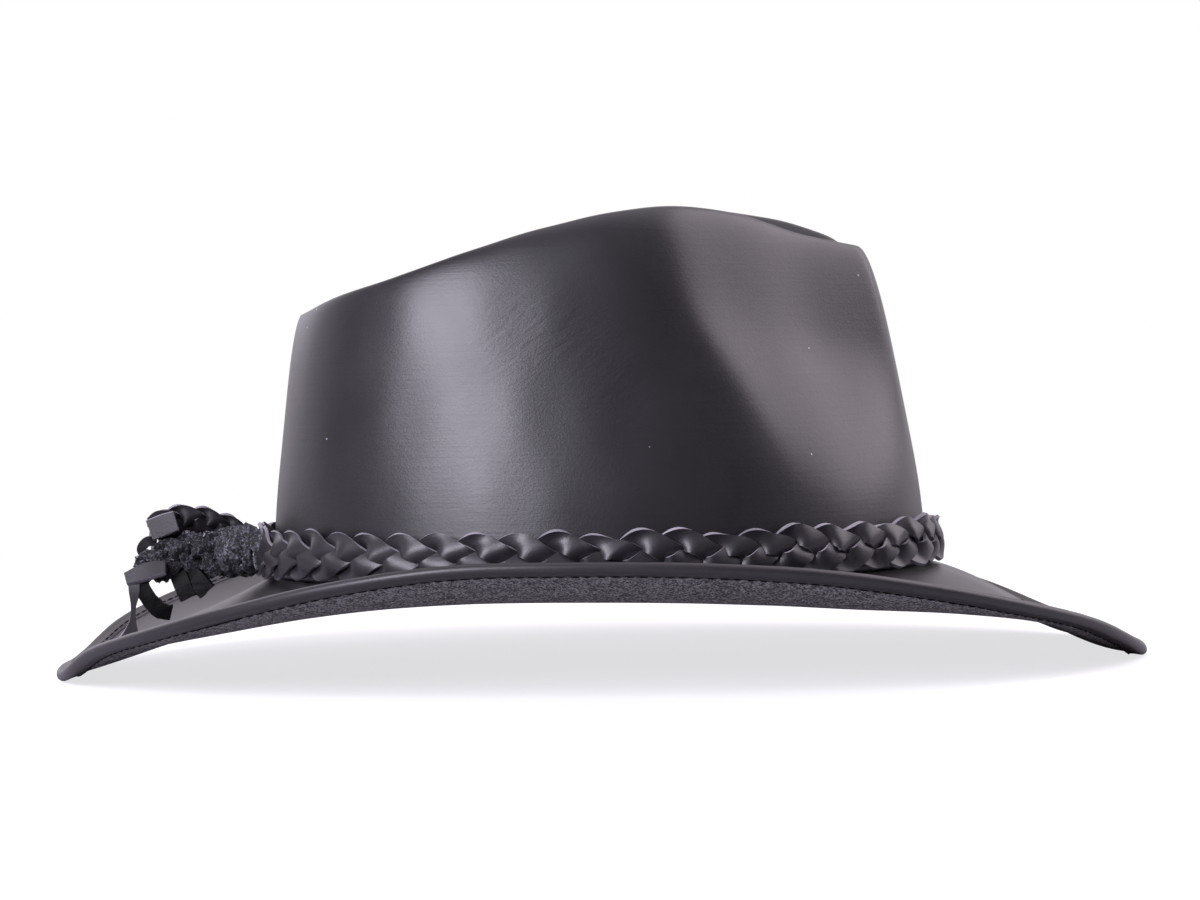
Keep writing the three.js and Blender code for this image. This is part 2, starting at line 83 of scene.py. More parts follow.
TAIL_THICKNESS = 1.3 * MM
EDGE_SINK = 0.45
EDGE_BEVEL = 0.045
BAND_LIFT = 0.3 * MM
BAND_OUTWARD = 0.6 * MM
PATH_STEPS = 720
STEPS_PER_REPEAT = 48

crown_half_length = crown_high[0]
crown_half_width = crown_high[1]
crown_foot = crown_low[2]
crown_height = 117.2 * MM
brim_top = crown_foot - CLEARANCE
brim_base = brim_top - BRIM_THICKNESS / 2
brim_half_length = 172 * MM
brim_half_width = 151 * MM

# The rim of the crown from the front round to the back, within about 1 mm of the frame's crown:
# turn, along and across as shares of the half length and half width, height, near-side drop
RIM = np.array([
    (0, 0.813, 0, 0.862, 0),
    (15, 0.794, 0.148, 0.867, 0.003),
    (30, 0.737, 0.273, 0.905, 0.032),
    (45, 0.603, 0.36, 0.95, 0.052),
    (60, 0.431, 0.466, 0.98, 0.039),
    (75, 0.239, 0.58, 0.991, 0.027),
    (90, 0.048, 0.659, 0.972, 0.019),
    (105, -0.163, 0.693, 0.932, 0.018),
    (120, -0.392, 0.682, 0.866, 0.009),
    (135, -0.603, 0.602, 0.797, 0),
    (150, -0.775, 0.443, 0.752, 0),
    (165, -0.871, 0.239, 0.715, 0),
    (180, -0.9, 0, 0.707, 0),
])

# The crown's section from foot to crease: inward, lift, sink
SECTION = np.array([
    (0, 0, 0),
    (0.125, 0.25, 0),
    (0.335, 0.5, 0),
    (0.57, 0.75, 0),
    (0.76, 0.9, 0),
    (0.93, 0.98, 0),
    (1.08, 1, 0.03),
    (1.24, 1, 0.22),
    (1.5, 1, 0.62),
    (1.77, 1, 0.92),
    (2, 1, 1),
])
CREASE_SHARE = 0.72

# Each side of the front is pinched flat between the front turn and this ridge, by steps of lift
RIDGE_TURN = np.array([56.0, 58, 66, 77, 79])
PINCH_FRONT = 16
PINCH_LIFT = (0.12, 0.7)

# The brim from the front round to the back, by steps of 12 degrees: the edge's rise as a share of
# BRIM_RISE, and the slopes with which it leaves the crown and reaches its edge
CURL = np.array([
    (0, -0.2, 0), (0.012, -0.16, 0.04), (0.165, -0.06, 0.08), (0.375, -0.12, 0.15),
    (0.56, -0.28, 0.28), (0.738, -0.42, 0.38), (0.887, -0.42, 0.36), (0.97, -0.36, 0.32),
    (1, -0.31, 0.3), (0.987, -0.29, 0.29), (0.864, -0.3, 0.27), (0.673, -0.36, 0.2),
    (0.476, -0.45, 0.14), (0.29, -0.52, 0.02), (0.05, -0.54, -0.22), (0, -0.55, -0.45),
])
REST_SHARE = 0.01


def smooth_value(column, place, mirror=0):
    """A smooth curve through a table's column. mirror is 1 or -1 where the other half repeats it."""
    last = len(column) - 1
    before_first = column[0] if mirror == 0 else mirror * column[1]
    after_last = column[last] if mirror == 0 else mirror * column[last - 1]
    padded = np.concatenate([[before_first], column, [after_last]])
    at = np.clip(place, 0, last)
    i = np.minimum(np.floor(at).astype(int), last - 1)
    f = at - i
    before, a, b, after = padded[i], padded[i + 1], padded[i + 2], padded[i + 3]
    slope_a = (b - before) / 2
    slope_b = (after - a) / 2
    f2, f3 = f * f, f * f * f
    return ((2 * f3 - 3 * f2 + 1) * a + (f3 - 2 * f2 + f) * slope_a
            + (3 * f2 - 2 * f3) * b + (f3 - f2) * slope_b)


def fold_turn(turn):
    """The same turn on the half from front to back, as the other half mirrors it."""
    return np.abs((turn + 180) % 360 - 180)


def smooth_step(low, high, value):
    """Rises from 0 to 1 between low and high, level at both."""
    f = np.clip((value - low) / (high - low), 0, 1)
    return f * f * (3 - 2 * f)


def soft_noise(x, y, z, seed):
    """A smooth, repeatable unevenness of about -1 to 1, from a few turned waves."""
    rng = np.random.default_rng(seed)
    total = 0
    for _ in range(7):
        direction = rng.normal(0, 1, 3)
        phase = rng.uniform(0, TAU)
        total = total + np.sin(x * direction[0] + y * direction[1] + z * direction[2] + phase)
    return total / 4


def crown_plan(turn, inward):
    """The crown's plan between its foot (inward 0) and its rim (inward 1), before the pinch."""
    angle = np.radians(turn)
    place = fold_turn(turn) / 180 * (len(RIM) - 1)
    side = np.where(np.sin(angle) < -1e-9, -1.0, 1.0)
    rim_x = smooth_value(RIM[:, 1], place, 1) * crown_half_length
    rim_y = side * smooth_value(RIM[:, 2], place, -1) * crown_half_width
    foot_x = crown_half_length * np.cos(angle)
    foot_y = crown_half_width * np.sin(angle)
    return foot_x + (rim_x - foot_x) * inward, foot_y + (rim_y - foot_y) * inward


def pinch_press(x, y, inward, lift):
    """How far the pinch presses the plan inwards, down to a line from the front to the ridge."""
    front_x, front_y = crown_plan(np.full_like(inward, PINCH_FRONT), inward)
    back_x, back_y = crown_plan(smooth_value(RIDGE_TURN, lift * (len(RIDGE_TURN) - 1)), inward)
    share = (x - back_x) / (front_x - back_x)
    line = back_y + (front_y - back_y) * share
    proud = np.abs(y) - line + PINCH_HOLLOW * 4 * np.maximum(share * (1 - share), 0)
    softened = (proud + np.hypot(proud, PINCH_SOFTNESS)) / 2
    return softened * smooth_step(*PINCH_LIFT, lift)


def crown_point(turn, row):
    """Points on the crown's outer skin, for arrays of turn in degrees and row along SECTION."""
    angle = np.radians(turn)
    place = fold_turn(turn) / 180 * (len(RIM) - 1)
    drop = np.where(np.sin(angle) < -1e-9, np.maximum(smooth_value(RIM[:, 4], place, 1), 0), 0)
    rim_height = smooth_value(RIM[:, 3], place, 1) * crown_height
    lowered = rim_height - drop * crown_height
    inward = smooth_value(SECTION[:, 0], row)
    lift = smooth_value(SECTION[:, 1], row)
    sink = smooth_value(SECTION[:, 2], row)
    to_rim = np.minimum(inward, 1)
    to_crease = np.maximum(inward - 1, 0)
    plan_x, plan_y = crown_plan(turn, to_rim)
    top_x, top_y = crown_plan(turn, np.ones_like(to_rim))
    press = np.minimum(pinch_press(plan_x, plan_y, to_rim, lift) * (1 - to_crease), np.abs(plan_y))
    x = plan_x - top_x * (1 - CREASE_SHARE) * to_crease
    y = plan_y - top_y * to_crease - np.sign(plan_y) * press
    end_ease = 0.5 + 0.5 * np.abs(np.sin(angle))
    height = lowered + (rim_height - lowered) * np.minimum(sink / EVEN_SINK, 1)
    z = crown_foot + height * lift - sink * CREASE_DEPTH * end_ease
    return np.stack([x, y, z], axis=-1)


def brim_point(turn, spread):
    """Points on the middle of the brim's leather: spread is 0 at the crown's foot, 1 at the edge."""
    angle = np.radians(turn)
    foot_x = crown_half_length * np.cos(angle)
    foot_y = crown_half_width * np.sin(angle)
    edge_x = brim_half_length * np.cos(angle)
    edge_y = brim_half_width * np.sin(angle)
    width = np.hypot(edge_x - foot_x, edge_y - foot_y)
    place = fold_turn(turn) / 180 * (len(CURL) - 1)
    rise = np.maximum(smooth_value(CURL[:, 0], place, 1) - REST_SHARE, 0)
    foot_slope = smooth_value(CURL[:, 1], place, 1)
    edge_slope = smooth_value(CURL[:, 2], place, 1)
    s, s2, s3 = spread, spread ** 2, spread ** 3
    z = ((2 * s3 - 3 * s2 + 1) * brim_base + (s3 - 2 * s2 + s) * width * foot_slope
         + (3 * s2 - 2 * s3) * (TIP_HEIGHT + BRIM_RISE * rise) + (s3 - s2) * width * edge_slope)
    return np.stack([foot_x + (edge_x - foot_x) * s, foot_y + (edge_y - foot_y) * s, z], axis=-1)


def brim_surface_height(x, y):
    """How high the brim's upper face lies at a place in plan."""
    turns, spreads = np.meshgrid(np.arange(0, 360, 1.0), np.linspace(0, 1, 60), indexing="ij")
    points = brim_point(turns, spreads).reshape(-1, 3)
    nearest = np.argmin(np.hypot(points[:, 0] - x, points[:, 1] - y))
    return points[nearest, 2] + BRIM_THICKNESS / 2


def unit(v):
    return v / np.maximum(np.linalg.norm(v, axis=-1, keepdims=True), 1e-12)


def brim_normal(turn, spread):
    """The brim's upward normals."""
    step = 0.02
    out = brim_point(turn, spread + step) - brim_point(turn, spread - step)
    around = brim_point(turn + 0.5, spread) - brim_point(turn - 0.5, spread)
    return unit(np.cross(out, around))


def hem_frame(turn):
    """The brim's edge at each turn: place, outward and upward directions, and the brim's width."""
    edge = brim_point(turn, np.ones_like(turn))
    foot = brim_point(turn, np.zeros_like(turn))
    width = np.hypot(edge[:, 0] - foot[:, 0], edge[:, 1] - foot[:, 1])
    inner = brim_point(turn, 1 - BINDING_REACH / width)
    out = unit(edge - inner)
    around = brim_point(turn + 0.5, np.ones_like(turn)) - brim_point(turn - 0.5, np.ones_like(turn))
    return edge, out, unit(np.cross(out, around)), width


def grid_normals(points, closed_rows=False):
    """Unit normals of a grid of points [i, j], i going round or along and j across."""
    if closed_rows:
        di = np.roll(points, -1, axis=0) - np.roll(points, 1, axis=0)
    else:
        di = np.gradient(points, axis=0)
    dj = np.gradient(points, axis=1)
    return unit(np.cross(di, dj))


def new_piece(name, points, faces, materials, face_materials=None):
    """A smoothly shaded piece from points and faces, with doubled points merged."""
    mesh = bpy.data.meshes.new(name)
    mesh.from_pydata([tuple(p) for p in points], [], faces)
    for material in materials:
        mesh.materials.append(material)
    if face_materials is not None:
        mesh.polygons.foreach_set("material_index", face_materials)
    mesh.polygons.foreach_set("use_smooth", [True] * len(mesh.polygons))
    mesh.update()
    piece = bpy.data.objects.new(name, mesh)
    bpy.context.scene.collection.objects.link(piece)
    bm = bmesh.new()
    bm.from_mesh(mesh)
    bmesh.ops.remove_doubles(bm, verts=bm.verts, dist=1e-6)
    bmesh.ops.recalc_face_normals(bm, faces=bm.faces)
    bm.to_mesh(mesh)
    bm.free()
    return piece


def mark_sharp(piece, degrees):
    """Keeps the edges that bend more than this crisp, and the rest smooth."""
    mesh = piece.data
    bm = bmesh.new()
    bm.from_mesh(mesh)
    limit = math.radians(degrees)
    for edge in bm.edges:
        if len(edge.link_faces) == 2:
            edge.smooth = edge.calc_face_angle() < limit
    bm.to_mesh(mesh)
    bm.free()


def dress(piece, slot, *nodes):
    """Puts a piece on the hat's one body, instead of the solids named. The slot is not used."""
    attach(piece, "root")
    if nodes:
        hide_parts(*nodes)


# Shared effects as node groups

def group(name, inputs, outputs):
    tree = bpy.data.node_groups.new(name, "ShaderNodeTree")
    for label, kind, value in inputs:
        socket = tree.interface.new_socket(label, in_out="INPUT", socket_type=kind)
        socket.default_value = value
    for label, kind in outputs:
        tree.interface.new_socket(label, in_out="OUTPUT", socket_type=kind)
    return tree, tree.nodes.new("NodeGroupInput"), tree.nodes.new("NodeGroupOutput")


def add(tree, kind, **settings):
    node = tree.nodes.new(kind)
    for key, value in settings.items():
        setattr(node, key, value)
    return node


def math_node(tree, operation, a, b):
    node = add(tree, "ShaderNodeMath", operation=operation)
    for slot_index, value in enumerate((a, b)):
        if isinstance(value, (int, float)):
            node.inputs[slot_index].default_value = value
        else:
            tree.links.new(value, node.inputs[slot_index])
    return node.outputs[0]


def noise_texture(tree, vector, scale, detail, roughness, distortion=0.0):
    node = add(tree, "ShaderNodeTexNoise")
    tree.links.new(vector, node.inputs["Vector"])
    if isinstance(scale, (int, float)):
        node.inputs["Scale"].default_value = scale
    else:
        tree.links.new(scale, node.inputs["Scale"])
    node.inputs["Detail"].default_value = detail
    node.inputs["Roughness"].default_value = roughness
    node.inputs["Distortion"].default_value = distortion
    return node.outputs["Fac"]


def ramp(tree, value, low, high):
    node = add(tree, "ShaderNodeMapRange", clamp=True)
    tree.links.new(value, node.inputs["Value"])
    node.inputs["From Min"].default_value = low
    node.inputs["From Max"].default_value = high
    return node.outputs["Result"]


def fine_grain_group():
    """Pores and slow unevenness of smooth leather."""
    tree, inside, outside = group(
        "Leather grain",
        [("Vector", "NodeSocketVector", (0, 0, 0)), ("Pore size", "NodeSocketFloat", 1400.0)],
        [("Height", "NodeSocketFloat"), ("Mottle", "NodeSocketFloat")],
    )
    vector = inside.outputs["Vector"]
    pores = add(tree, "ShaderNodeTexVoronoi", feature="F1")
    tree.links.new(vector, pores.inputs["Vector"])
    tree.links.new(inside.outputs["Pore size"], pores.inputs["Scale"])
    fibre = noise_texture(tree, vector, 420.0, 4.0, 0.6)
    slow = noise_texture(tree, vector, 26.0, 5.0, 0.62, 0.4)
    height = math_node(tree, "ADD", math_node(tree, "MULTIPLY", pores.outputs["Distance"], 0.5), fibre)
    tree.links.new(height, outside.inputs["Height"])
    tree.links.new(slow, outside.inputs["Mottle"])
    return tree


def streak_group():
    """Faint level streaks that brushing and finishing leave on smooth leather."""
    tree, inside, outside = group(
        "Finishing streaks",
        [("Vector", "NodeSocketVector", (0, 0, 0)), ("Closeness", "NodeSocketFloat", 38.0)],
        [("Height", "NodeSocketFloat")],
    )
    stretched = add(tree, "ShaderNodeMapping")
    stretched.inputs["Scale"].default_value = (1, 1, 26)
    tree.links.new(inside.outputs["Vector"], stretched.inputs["Vector"])
    streaks = noise_texture(tree, stretched.outputs[0], inside.outputs["Closeness"], 3.0, 0.6)
    tree.links.new(streaks, outside.inputs["Height"])
    return tree


def dust_group():
    """Sparse specks of pale dust, as a mask."""
    tree, inside, outside = group(
        "Dust specks",
        [("Vector", "NodeSocketVector", (0, 0, 0)), ("Spacing", "NodeSocketFloat", 150.0)],
        [("Mask", "NodeSocketFloat")],
    )
    vector = inside.outputs["Vector"]
    cells = add(tree, "ShaderNodeTexVoronoi", feature="F1")
    tree.links.new(vector, cells.inputs["Vector"])
    tree.links.new(inside.outputs["Spacing"], cells.inputs["Scale"])
    near = math_node(tree, "LESS_THAN", cells.outputs["Distance"], 0.045)
    patch = ramp(tree, noise_texture(tree, vector, 60.0, 2.0, 0.5), 0.6, 0.66)
    tree.links.new(math_node(tree, "MULTIPLY", near, patch), outside.inputs["Mask"])
    return tree


def suede_group():
    """The raised nap of the flesh side: light and dark speckle, and its height."""
    tree, inside, outside = group(
        "Suede nap",
        [("Vector", "NodeSocketVector", (0, 0, 0)), ("Fineness", "NodeSocketFloat", 1500.0)],
        [("Height", "NodeSocketFloat"), ("Speckle", "NodeSocketFloat")],
    )
    vector = inside.outputs["Vector"]
    nap = noise_texture(tree, vector, inside.outputs["Fineness"], 3.0, 0.7)
    clump = noise_texture(tree, vector, 420.0, 4.0, 0.75, 0.4)
    both = math_node(tree, "ADD", math_node(tree, "MULTIPLY", nap, 0.7),
                     math_node(tree, "MULTIPLY", clump, 0.3))
    tree.links.new(both, outside.inputs["Height"])
    tree.links.new(ramp(tree, both, 0.455, 0.56), outside.inputs["Speckle"])
    return tree


GRAIN = fine_grain_group()
STREAKS = streak_group()
DUST = dust_group()
SUEDE = suede_group()


def cleared_tree(owner):
    owner.use_nodes = True
    owner.node_tree.nodes.clear()
    return owner.node_tree


def material(name):
    """An empty material with one shader, and the object's own coordinates."""
    made = bpy.data.materials.new(name)
    tree = cleared_tree(made)
    output = add(tree, "ShaderNodeOutputMaterial")
    shader = add(tree, "ShaderNodeBsdfPrincipled")
    tree.links.new(shader.outputs[0], output.inputs["Surface"])
    coordinates = add(tree, "ShaderNodeTexCoord")
    return made, tree, shader, coordinates.outputs["Object"]


def placed(tree, which, vector, **values):
    """A shared effect, placed with its own values."""
    node = add(tree, "ShaderNodeGroup", node_tree=which)
    tree.links.new(vector, node.inputs["Vector"])
    for label, value in values.items():
        node.inputs[label.replace("_", " ")].default_value = value
    return node


def mix_colour(tree, factor, dark, light):
    """A colour between two, each a plain value or another node's."""
    node = add(tree, "ShaderNodeMix", data_type="RGBA")
    if isinstance(factor, (int, float)):
        node.inputs["Factor"].default_value = factor
    else:
        tree.links.new(factor, node.inputs["Factor"])
    for label, value in (("A", dark), ("B", light)):
        socket = [s for s in node.inputs if s.name == label and s.type == "RGBA"][0]
        if isinstance(value, tuple):
            socket.default_value = (*value, 1)
        else:
            tree.links.new(value, socket)
    return [s for s in node.outputs if s.type == "RGBA"][0]


def bump(tree, shader, height, strength, distance):
    node = add(tree, "ShaderNodeBump")
    node.inputs["Strength"].default_value = strength
    node.inputs["Distance"].default_value = distance
    tree.links.new(height, node.inputs["Height"])
    tree.links.new(node.outputs[0], shader.inputs["Normal"])


def wrinkle_patch(tree, vector, centre, reach):
    """Soft slanting wrinkles around one place of the crown, as a height."""
    away = add(tree, "ShaderNodeVectorMath", operation="DISTANCE")
    tree.links.new(vector, away.inputs[0])
    away.inputs[1].default_value = centre
    near = math_node(tree, "SUBTRACT", 1.0, ramp(tree, away.outputs["Value"], reach * 0.3, reach))
    tilted = add(tree, "ShaderNodeMapping", vector_type="TEXTURE")
    tilted.inputs["Rotation"].default_value = (0, math.radians(-35), 0)
    tilted.inputs["Scale"].default_value = (1, 1, 0.25)
    tree.links.new(vector, tilted.inputs["Vector"])
    folds = noise_texture(tree, tilted.outputs[0], 80.0, 4.0, 0.6, 0.8)
    return math_node(tree, "MULTIPLY", near, folds)


def smooth_leather(name, dark, light, roughness, grain_strength, dust=True, wrinkles=(), gloss=0.5):
    """Leather with its smooth side out. Each wrinkle is a place, a reach and a depth."""
    made, tree, shader, vector = material(name)
    grain = placed(tree, GRAIN, vector)
    streaks = placed(tree, STREAKS, vector)
    mottle = ramp(tree, grain.outputs["Mottle"], 0.3, 0.7)
    colour = mix_colour(tree, mottle, dark, light)
    if dust:
        specks = placed(tree, DUST, vector)
        colour = mix_colour(tree, specks.outputs["Mask"], colour, (0.3, 0.29, 0.32))
    tree.links.new(colour, shader.inputs["Base Color"])
    rough = math_node(tree, "MULTIPLY_ADD", grain.outputs["Mottle"], 0.12)
    rough.node.inputs[2].default_value = roughness - 0.06
    tree.links.new(rough, shader.inputs["Roughness"])
    shader.inputs["Specular IOR Level"].default_value = gloss
    height = math_node(tree, "ADD", grain.outputs["Height"],
                       math_node(tree, "MULTIPLY", streaks.outputs["Height"], 1.1))
    for centre, reach, depth in wrinkles:
        fold = math_node(tree, "MULTIPLY", wrinkle_patch(tree, vector, centre, reach), depth)
        height = math_node(tree, "ADD", height, fold)
    bump(tree, shader, height, grain_strength, 0.15 * MM)
    return made


def suede_leather(name, dark, light, strength, roughness=0.92, gloss=0.22, fineness=1400.0,
                  sparse=1.0):
    """Leather with its rough side out. A higher sparse leaves fewer light specks: fibres of the nap
    and, on the tail suedes, partly painted glints.
    """
    made, tree, shader, vector = material(name)
    nap = placed(tree, SUEDE, vector, Fineness=fineness)
    speckle = math_node(tree, "POWER", nap.outputs["Speckle"], sparse)
    colour = mix_colour(tree, speckle, dark, light)
    tree.links.new(colour, shader.inputs["Base Color"])
    shader.inputs["Roughness"].default_value = roughness
    shader.inputs["Specular IOR Level"].default_value = gloss
    shader.inputs["Sheen Weight"].default_value = 0.08
    shader.inputs["Sheen Roughness"].default_value = 0.6
    bump(tree, shader, nap.outputs["Height"], strength, 0.5 * MM)
    return made


def plain_thread(name, colour, roughness):
    made, tree, shader, vector = material(name)
    grain = placed(tree, GRAIN, vector, Pore_size=2600.0)
    tree.links.new(mix_colour(tree, grain.outputs["Mottle"], colour,
                              tuple(c * 1.6 for c in colour)), shader.inputs["Base Color"])
    shader.inputs["Roughness"].default_value = roughness
    shader.inputs["Specular IOR Level"].default_value = 0.1
    bump(tree, shader, grain.outputs["Height"], 0.4, 0.1 * MM)
    return made


# Where the crown is wrinkled by hand: a place on the near side, its reach and its depth
CROWN_WRINKLES = [
    ((-0.024, -0.07, 0.106), 0.024, 3.6),
    ((0.003, -0.077, 0.089), 0.02, 3.2),
]

crown_leather = smooth_leather("Moulded leather", (0.006, 0.0052, 0.0068), (0.0095, 0.0085, 0.0105),
                               0.40, 0.2, wrinkles=CROWN_WRINKLES)
brim_leather = smooth_leather("Brim leather", (0.009, 0.008, 0.0096), (0.0135, 0.0122, 0.0145),
                              0.42, 0.16, gloss=0.44)
binding_leather = smooth_leather("Binding leather", (0.0085, 0.0071, 0.0084),
                                 (0.014, 0.0119, 0.0141), 0.44, 0.12, gloss=0.44)
plait_leather = smooth_leather("Plait leather", (0.009, 0.008, 0.0102), (0.0155, 0.014, 0.017),
                               0.42, 0.2)
tail_leather = smooth_leather("Tail leather", (0.004, 0.0035, 0.0044), (0.008, 0.0072, 0.0088),
                              0.5, 0.3, dust=False, gloss=0.2)
# Near-black, almost glossless leather for the lower tail's dark loose ends.
near_black_strip_leather = smooth_leather("Near-black strip leather", (0.0012, 0.0011, 0.0012), (0.0035, 0.003, 0.0032),
                              0.5, 0.5, dust=False, gloss=0.07)
cut_edge = smooth_leather("Cut edge", (0.08, 0.074, 0.088), (0.3, 0.28, 0.325), 0.7, 0.4, dust=False)
under_suede = suede_leather("Suede underside", (0.004, 0.004, 0.004), (0.27, 0.268, 0.262), 1.0,
                            sparse=1.5)
inner_suede = suede_leather("Suede inside", (0.014, 0.013, 0.015), (0.05, 0.047, 0.051), 0.7)
# The tails' suede: its sparse bluish light speckle is partly the nap's own colour and partly painted
# glints of light on raised fibres.
tail_suede_painted_glints = suede_leather("Tail suede, painted glints", (0.0015, 0.0015, 0.0018), (0.085, 0.088, 0.108), 1.0,
                           roughness=0.5, gloss=0.3, fineness=1300.0, sparse=3.2)
# The darker tail suede likewise: partly the nap's own light fibres, partly painted glints.
dark_suede_painted_glints = suede_leather("Dark tail suede, painted glints", (0.0015, 0.0015, 0.0017), (0.06, 0.062, 0.074), 1.0,
                           roughness=0.55, gloss=0.2, fineness=1300.0, sparse=4.0)
torn_edge = suede_leather("Torn edge", (0.006, 0.006, 0.007), (0.22, 0.22, 0.26), 1.0, sparse=1.8)
thread = plain_thread("Black thread", (0.0012, 0.0012, 0.0014), 0.8)


# Crown

def make_crown():
    """The moulded shell: outer skin, inner skin, and the cut foot between them."""
    columns, rows, inner_rows = 288, 110, 56
    turns = np.arange(columns) * 360 / columns
    row_places = np.linspace(0, len(SECTION) - 1, rows)
    turn_grid, row_grid = np.meshgrid(turns, row_places, indexing="ij")
    outer = crown_point(turn_grid, row_grid)
    outer[:, -1, 1] = 0
    normals = grid_normals(outer, closed_rows=True)
    waves = soft_noise(outer[..., 0] * 38, outer[..., 1] * 38, outer[..., 2] * 30, 11)
    ease = np.clip((outer[..., 2] - crown_foot) / WAVES_FROM_FOOT, 0, 1) * (row_grid < RIM_ROW)
    dents = soft_noise(outer[..., 0] * 150, outer[..., 1] * 150, outer[..., 2] * 110, 12)
    outer = outer + normals * ((waves * CROWN_WAVES + dents * CROWN_DENTS) * ease)[..., None]
    pick = np.linspace(0, rows - 1, inner_rows).astype(int)
    inner = outer[:, pick] - normals[:, pick] * CROWN_WALL
    outer[:, 0, 2] = brim_top - 0.05 * MM
    inner[:, 0, 2] = brim_top - 0.05 * MM
    inner[:, -1] = outer[:, -1] - np.array([0, 0, CROWN_WALL])
    inner[:, -1, 1] = 0
    points = np.concatenate([outer.reshape(-1, 3), inner.reshape(-1, 3)])
    offset = columns * rows
    faces = []
    which = []
    for i in range(columns):
        k = (i + 1) % columns
        for j in range(rows - 1):
            faces.append((i * rows + j, k * rows + j, k * rows + j + 1, i * rows + j + 1))
            which.append(0)
        for j in range(inner_rows - 1):
            a = offset + i * inner_rows + j
            b = offset + k * inner_rows + j
            faces.append((a, a + 1, b + 1, b))
            which.append(1)
        faces.append((i * rows, offset + i * inner_rows, offset + k * inner_rows, k * rows))
        which.append(2)
    piece = new_piece("crown_leather", points, faces, [crown_leather, inner_suede, cut_edge], which)
    dress(piece, "crown_leather", "crown")


# Brim and its binding

def ring_faces(count, size, kinds, closed):
    """Faces between sections [i, j] that each close on themselves, and each face's leather."""
    faces = []
    which = []
    for i in range(count if closed else count - 1):
        k = (i + 1) % count
        for j in range(size):
            m = (j + 1) % size
            faces.append((i * size + j, i * size + m, k * size + m, k * size + j))
            which.append(kinds[j])
    return faces, which


def ring_piece(name, rings, materials, kinds):
    """A closed ring from its sections."""
    faces, which = ring_faces(*rings.shape[:2], kinds, closed=True)
    return new_piece(name, rings.reshape(-1, 3), faces, materials, which)


def make_brim():
    """The ring of leather, smooth above and suede below, from the crown to its cut edge."""
    columns = 360
    turns = np.arange(columns) * 360 / columns
    spreads = np.concatenate([np.linspace(0, 0.9, 26), np.linspace(0.92, 1, 6)])
    half = BRIM_THICKNESS / 2
    inner_scale = 1 - CROWN_WALL / np.hypot(crown_half_length * np.cos(np.radians(turns)),
                                            crown_half_width * np.sin(np.radians(turns)))
    foot = brim_point(turns, np.zeros(columns))
    lip = foot * np.stack([inner_scale, inner_scale, np.ones(columns)], axis=1)
    upper = [lip + np.array([0, 0, half])]
    lower = [lip - np.array([0, 0, half])]
    for spread in spreads:
        s = np.full(columns, spread)
        middle = brim_point(turns, s)
        if spread == 0:
            normal = np.tile([0.0, 0.0, 1.0], (columns, 1))
        else:
            normal = brim_normal(turns, s)
        upper.append(middle + normal * half)
        lower.append(middle - normal * half)
    count = len(upper)
    rings = np.stack(upper + lower[::-1], axis=1)
    kinds = [0] * (count - 1) + [2] + [1] * (count - 1) + [2]
    piece = ring_piece("brim_leather", rings, [brim_leather, under_suede, cut_edge], kinds)
    mark_sharp(piece, 50)
    dress(piece, "brim_leather", "brim")


# The folded strip's section below the brim: reach from the brim's cut edge, and height off its
# middle, from the raw edge over the stitch's groove to the round bead
HEM_SECTION = [
    (-5.2, 1.22), (-5.0, 1.4), (-4.75, 1.44), (-4.5, 1.4), (-4.3, 1.3), (-4.1, 1.4),
    (-3.8, 1.46), (-2.6, 1.5), (-1.8, 1.56), (-1.1, 1.68),
]


def make_binding():
    """The folded strip: two legs, the round bead, and the slot that holds the brim."""
    columns = 480
    turns = np.arange(columns) * 360 / columns
    edge, out, normal, _ = hem_frame(turns)
    inside = BRIM_THICKNESS / 2 + 0.02 * MM
    bead_middle = BINDING_OVERHANG - HEM_HALF
    bead = [(bead_middle + HEM_HALF * math.cos(a), HEM_HALF * math.sin(a))
            for a in np.radians(np.linspace(-90, 90, 15))]
    legs_low = [(x * MM, -y * MM) for x, y in HEM_SECTION]
    legs_high = [(x, -y) for x, y in reversed(legs_low)]
    pocket = 0.1 * MM
    inner = [(-BINDING_REACH, inside), (pocket, inside), (pocket, -inside), (-BINDING_REACH, -inside)]
    outline = legs_low + bead + legs_high + inner
    skin = len(legs_low) + len(bead) + len(legs_high)
    swell = 1 + 0.035 * soft_noise(edge[:, 0] * 300, edge[:, 1] * 300, edge[:, 2] * 300, 21)
    rings = []
    for n, (x, y) in enumerate(outline):
        fullness = swell if n < skin else np.ones(columns)
        rings.append(edge + out * x + normal * (y * fullness)[:, None])
    rings = np.stack(rings, axis=1)
    rings[..., 2] = np.maximum(rings[..., 2], 0)
    kinds = [0] * len(outline)
    kinds[skin - 1] = 1
    kinds[-1] = 1
    piece = ring_piece("edge_binding_leather", rings, [binding_leather, cut_edge], kinds)
    mark_sharp(piece, 55)
    dress(piece, "binding_leather", "edge_binding")


def arc_places(points):
    """How far along a closed line each point lies, with the whole length last."""
    steps = np.linalg.norm(np.roll(points, -1, axis=0) - points, axis=1)
    return np.concatenate([[0], np.cumsum(steps)])


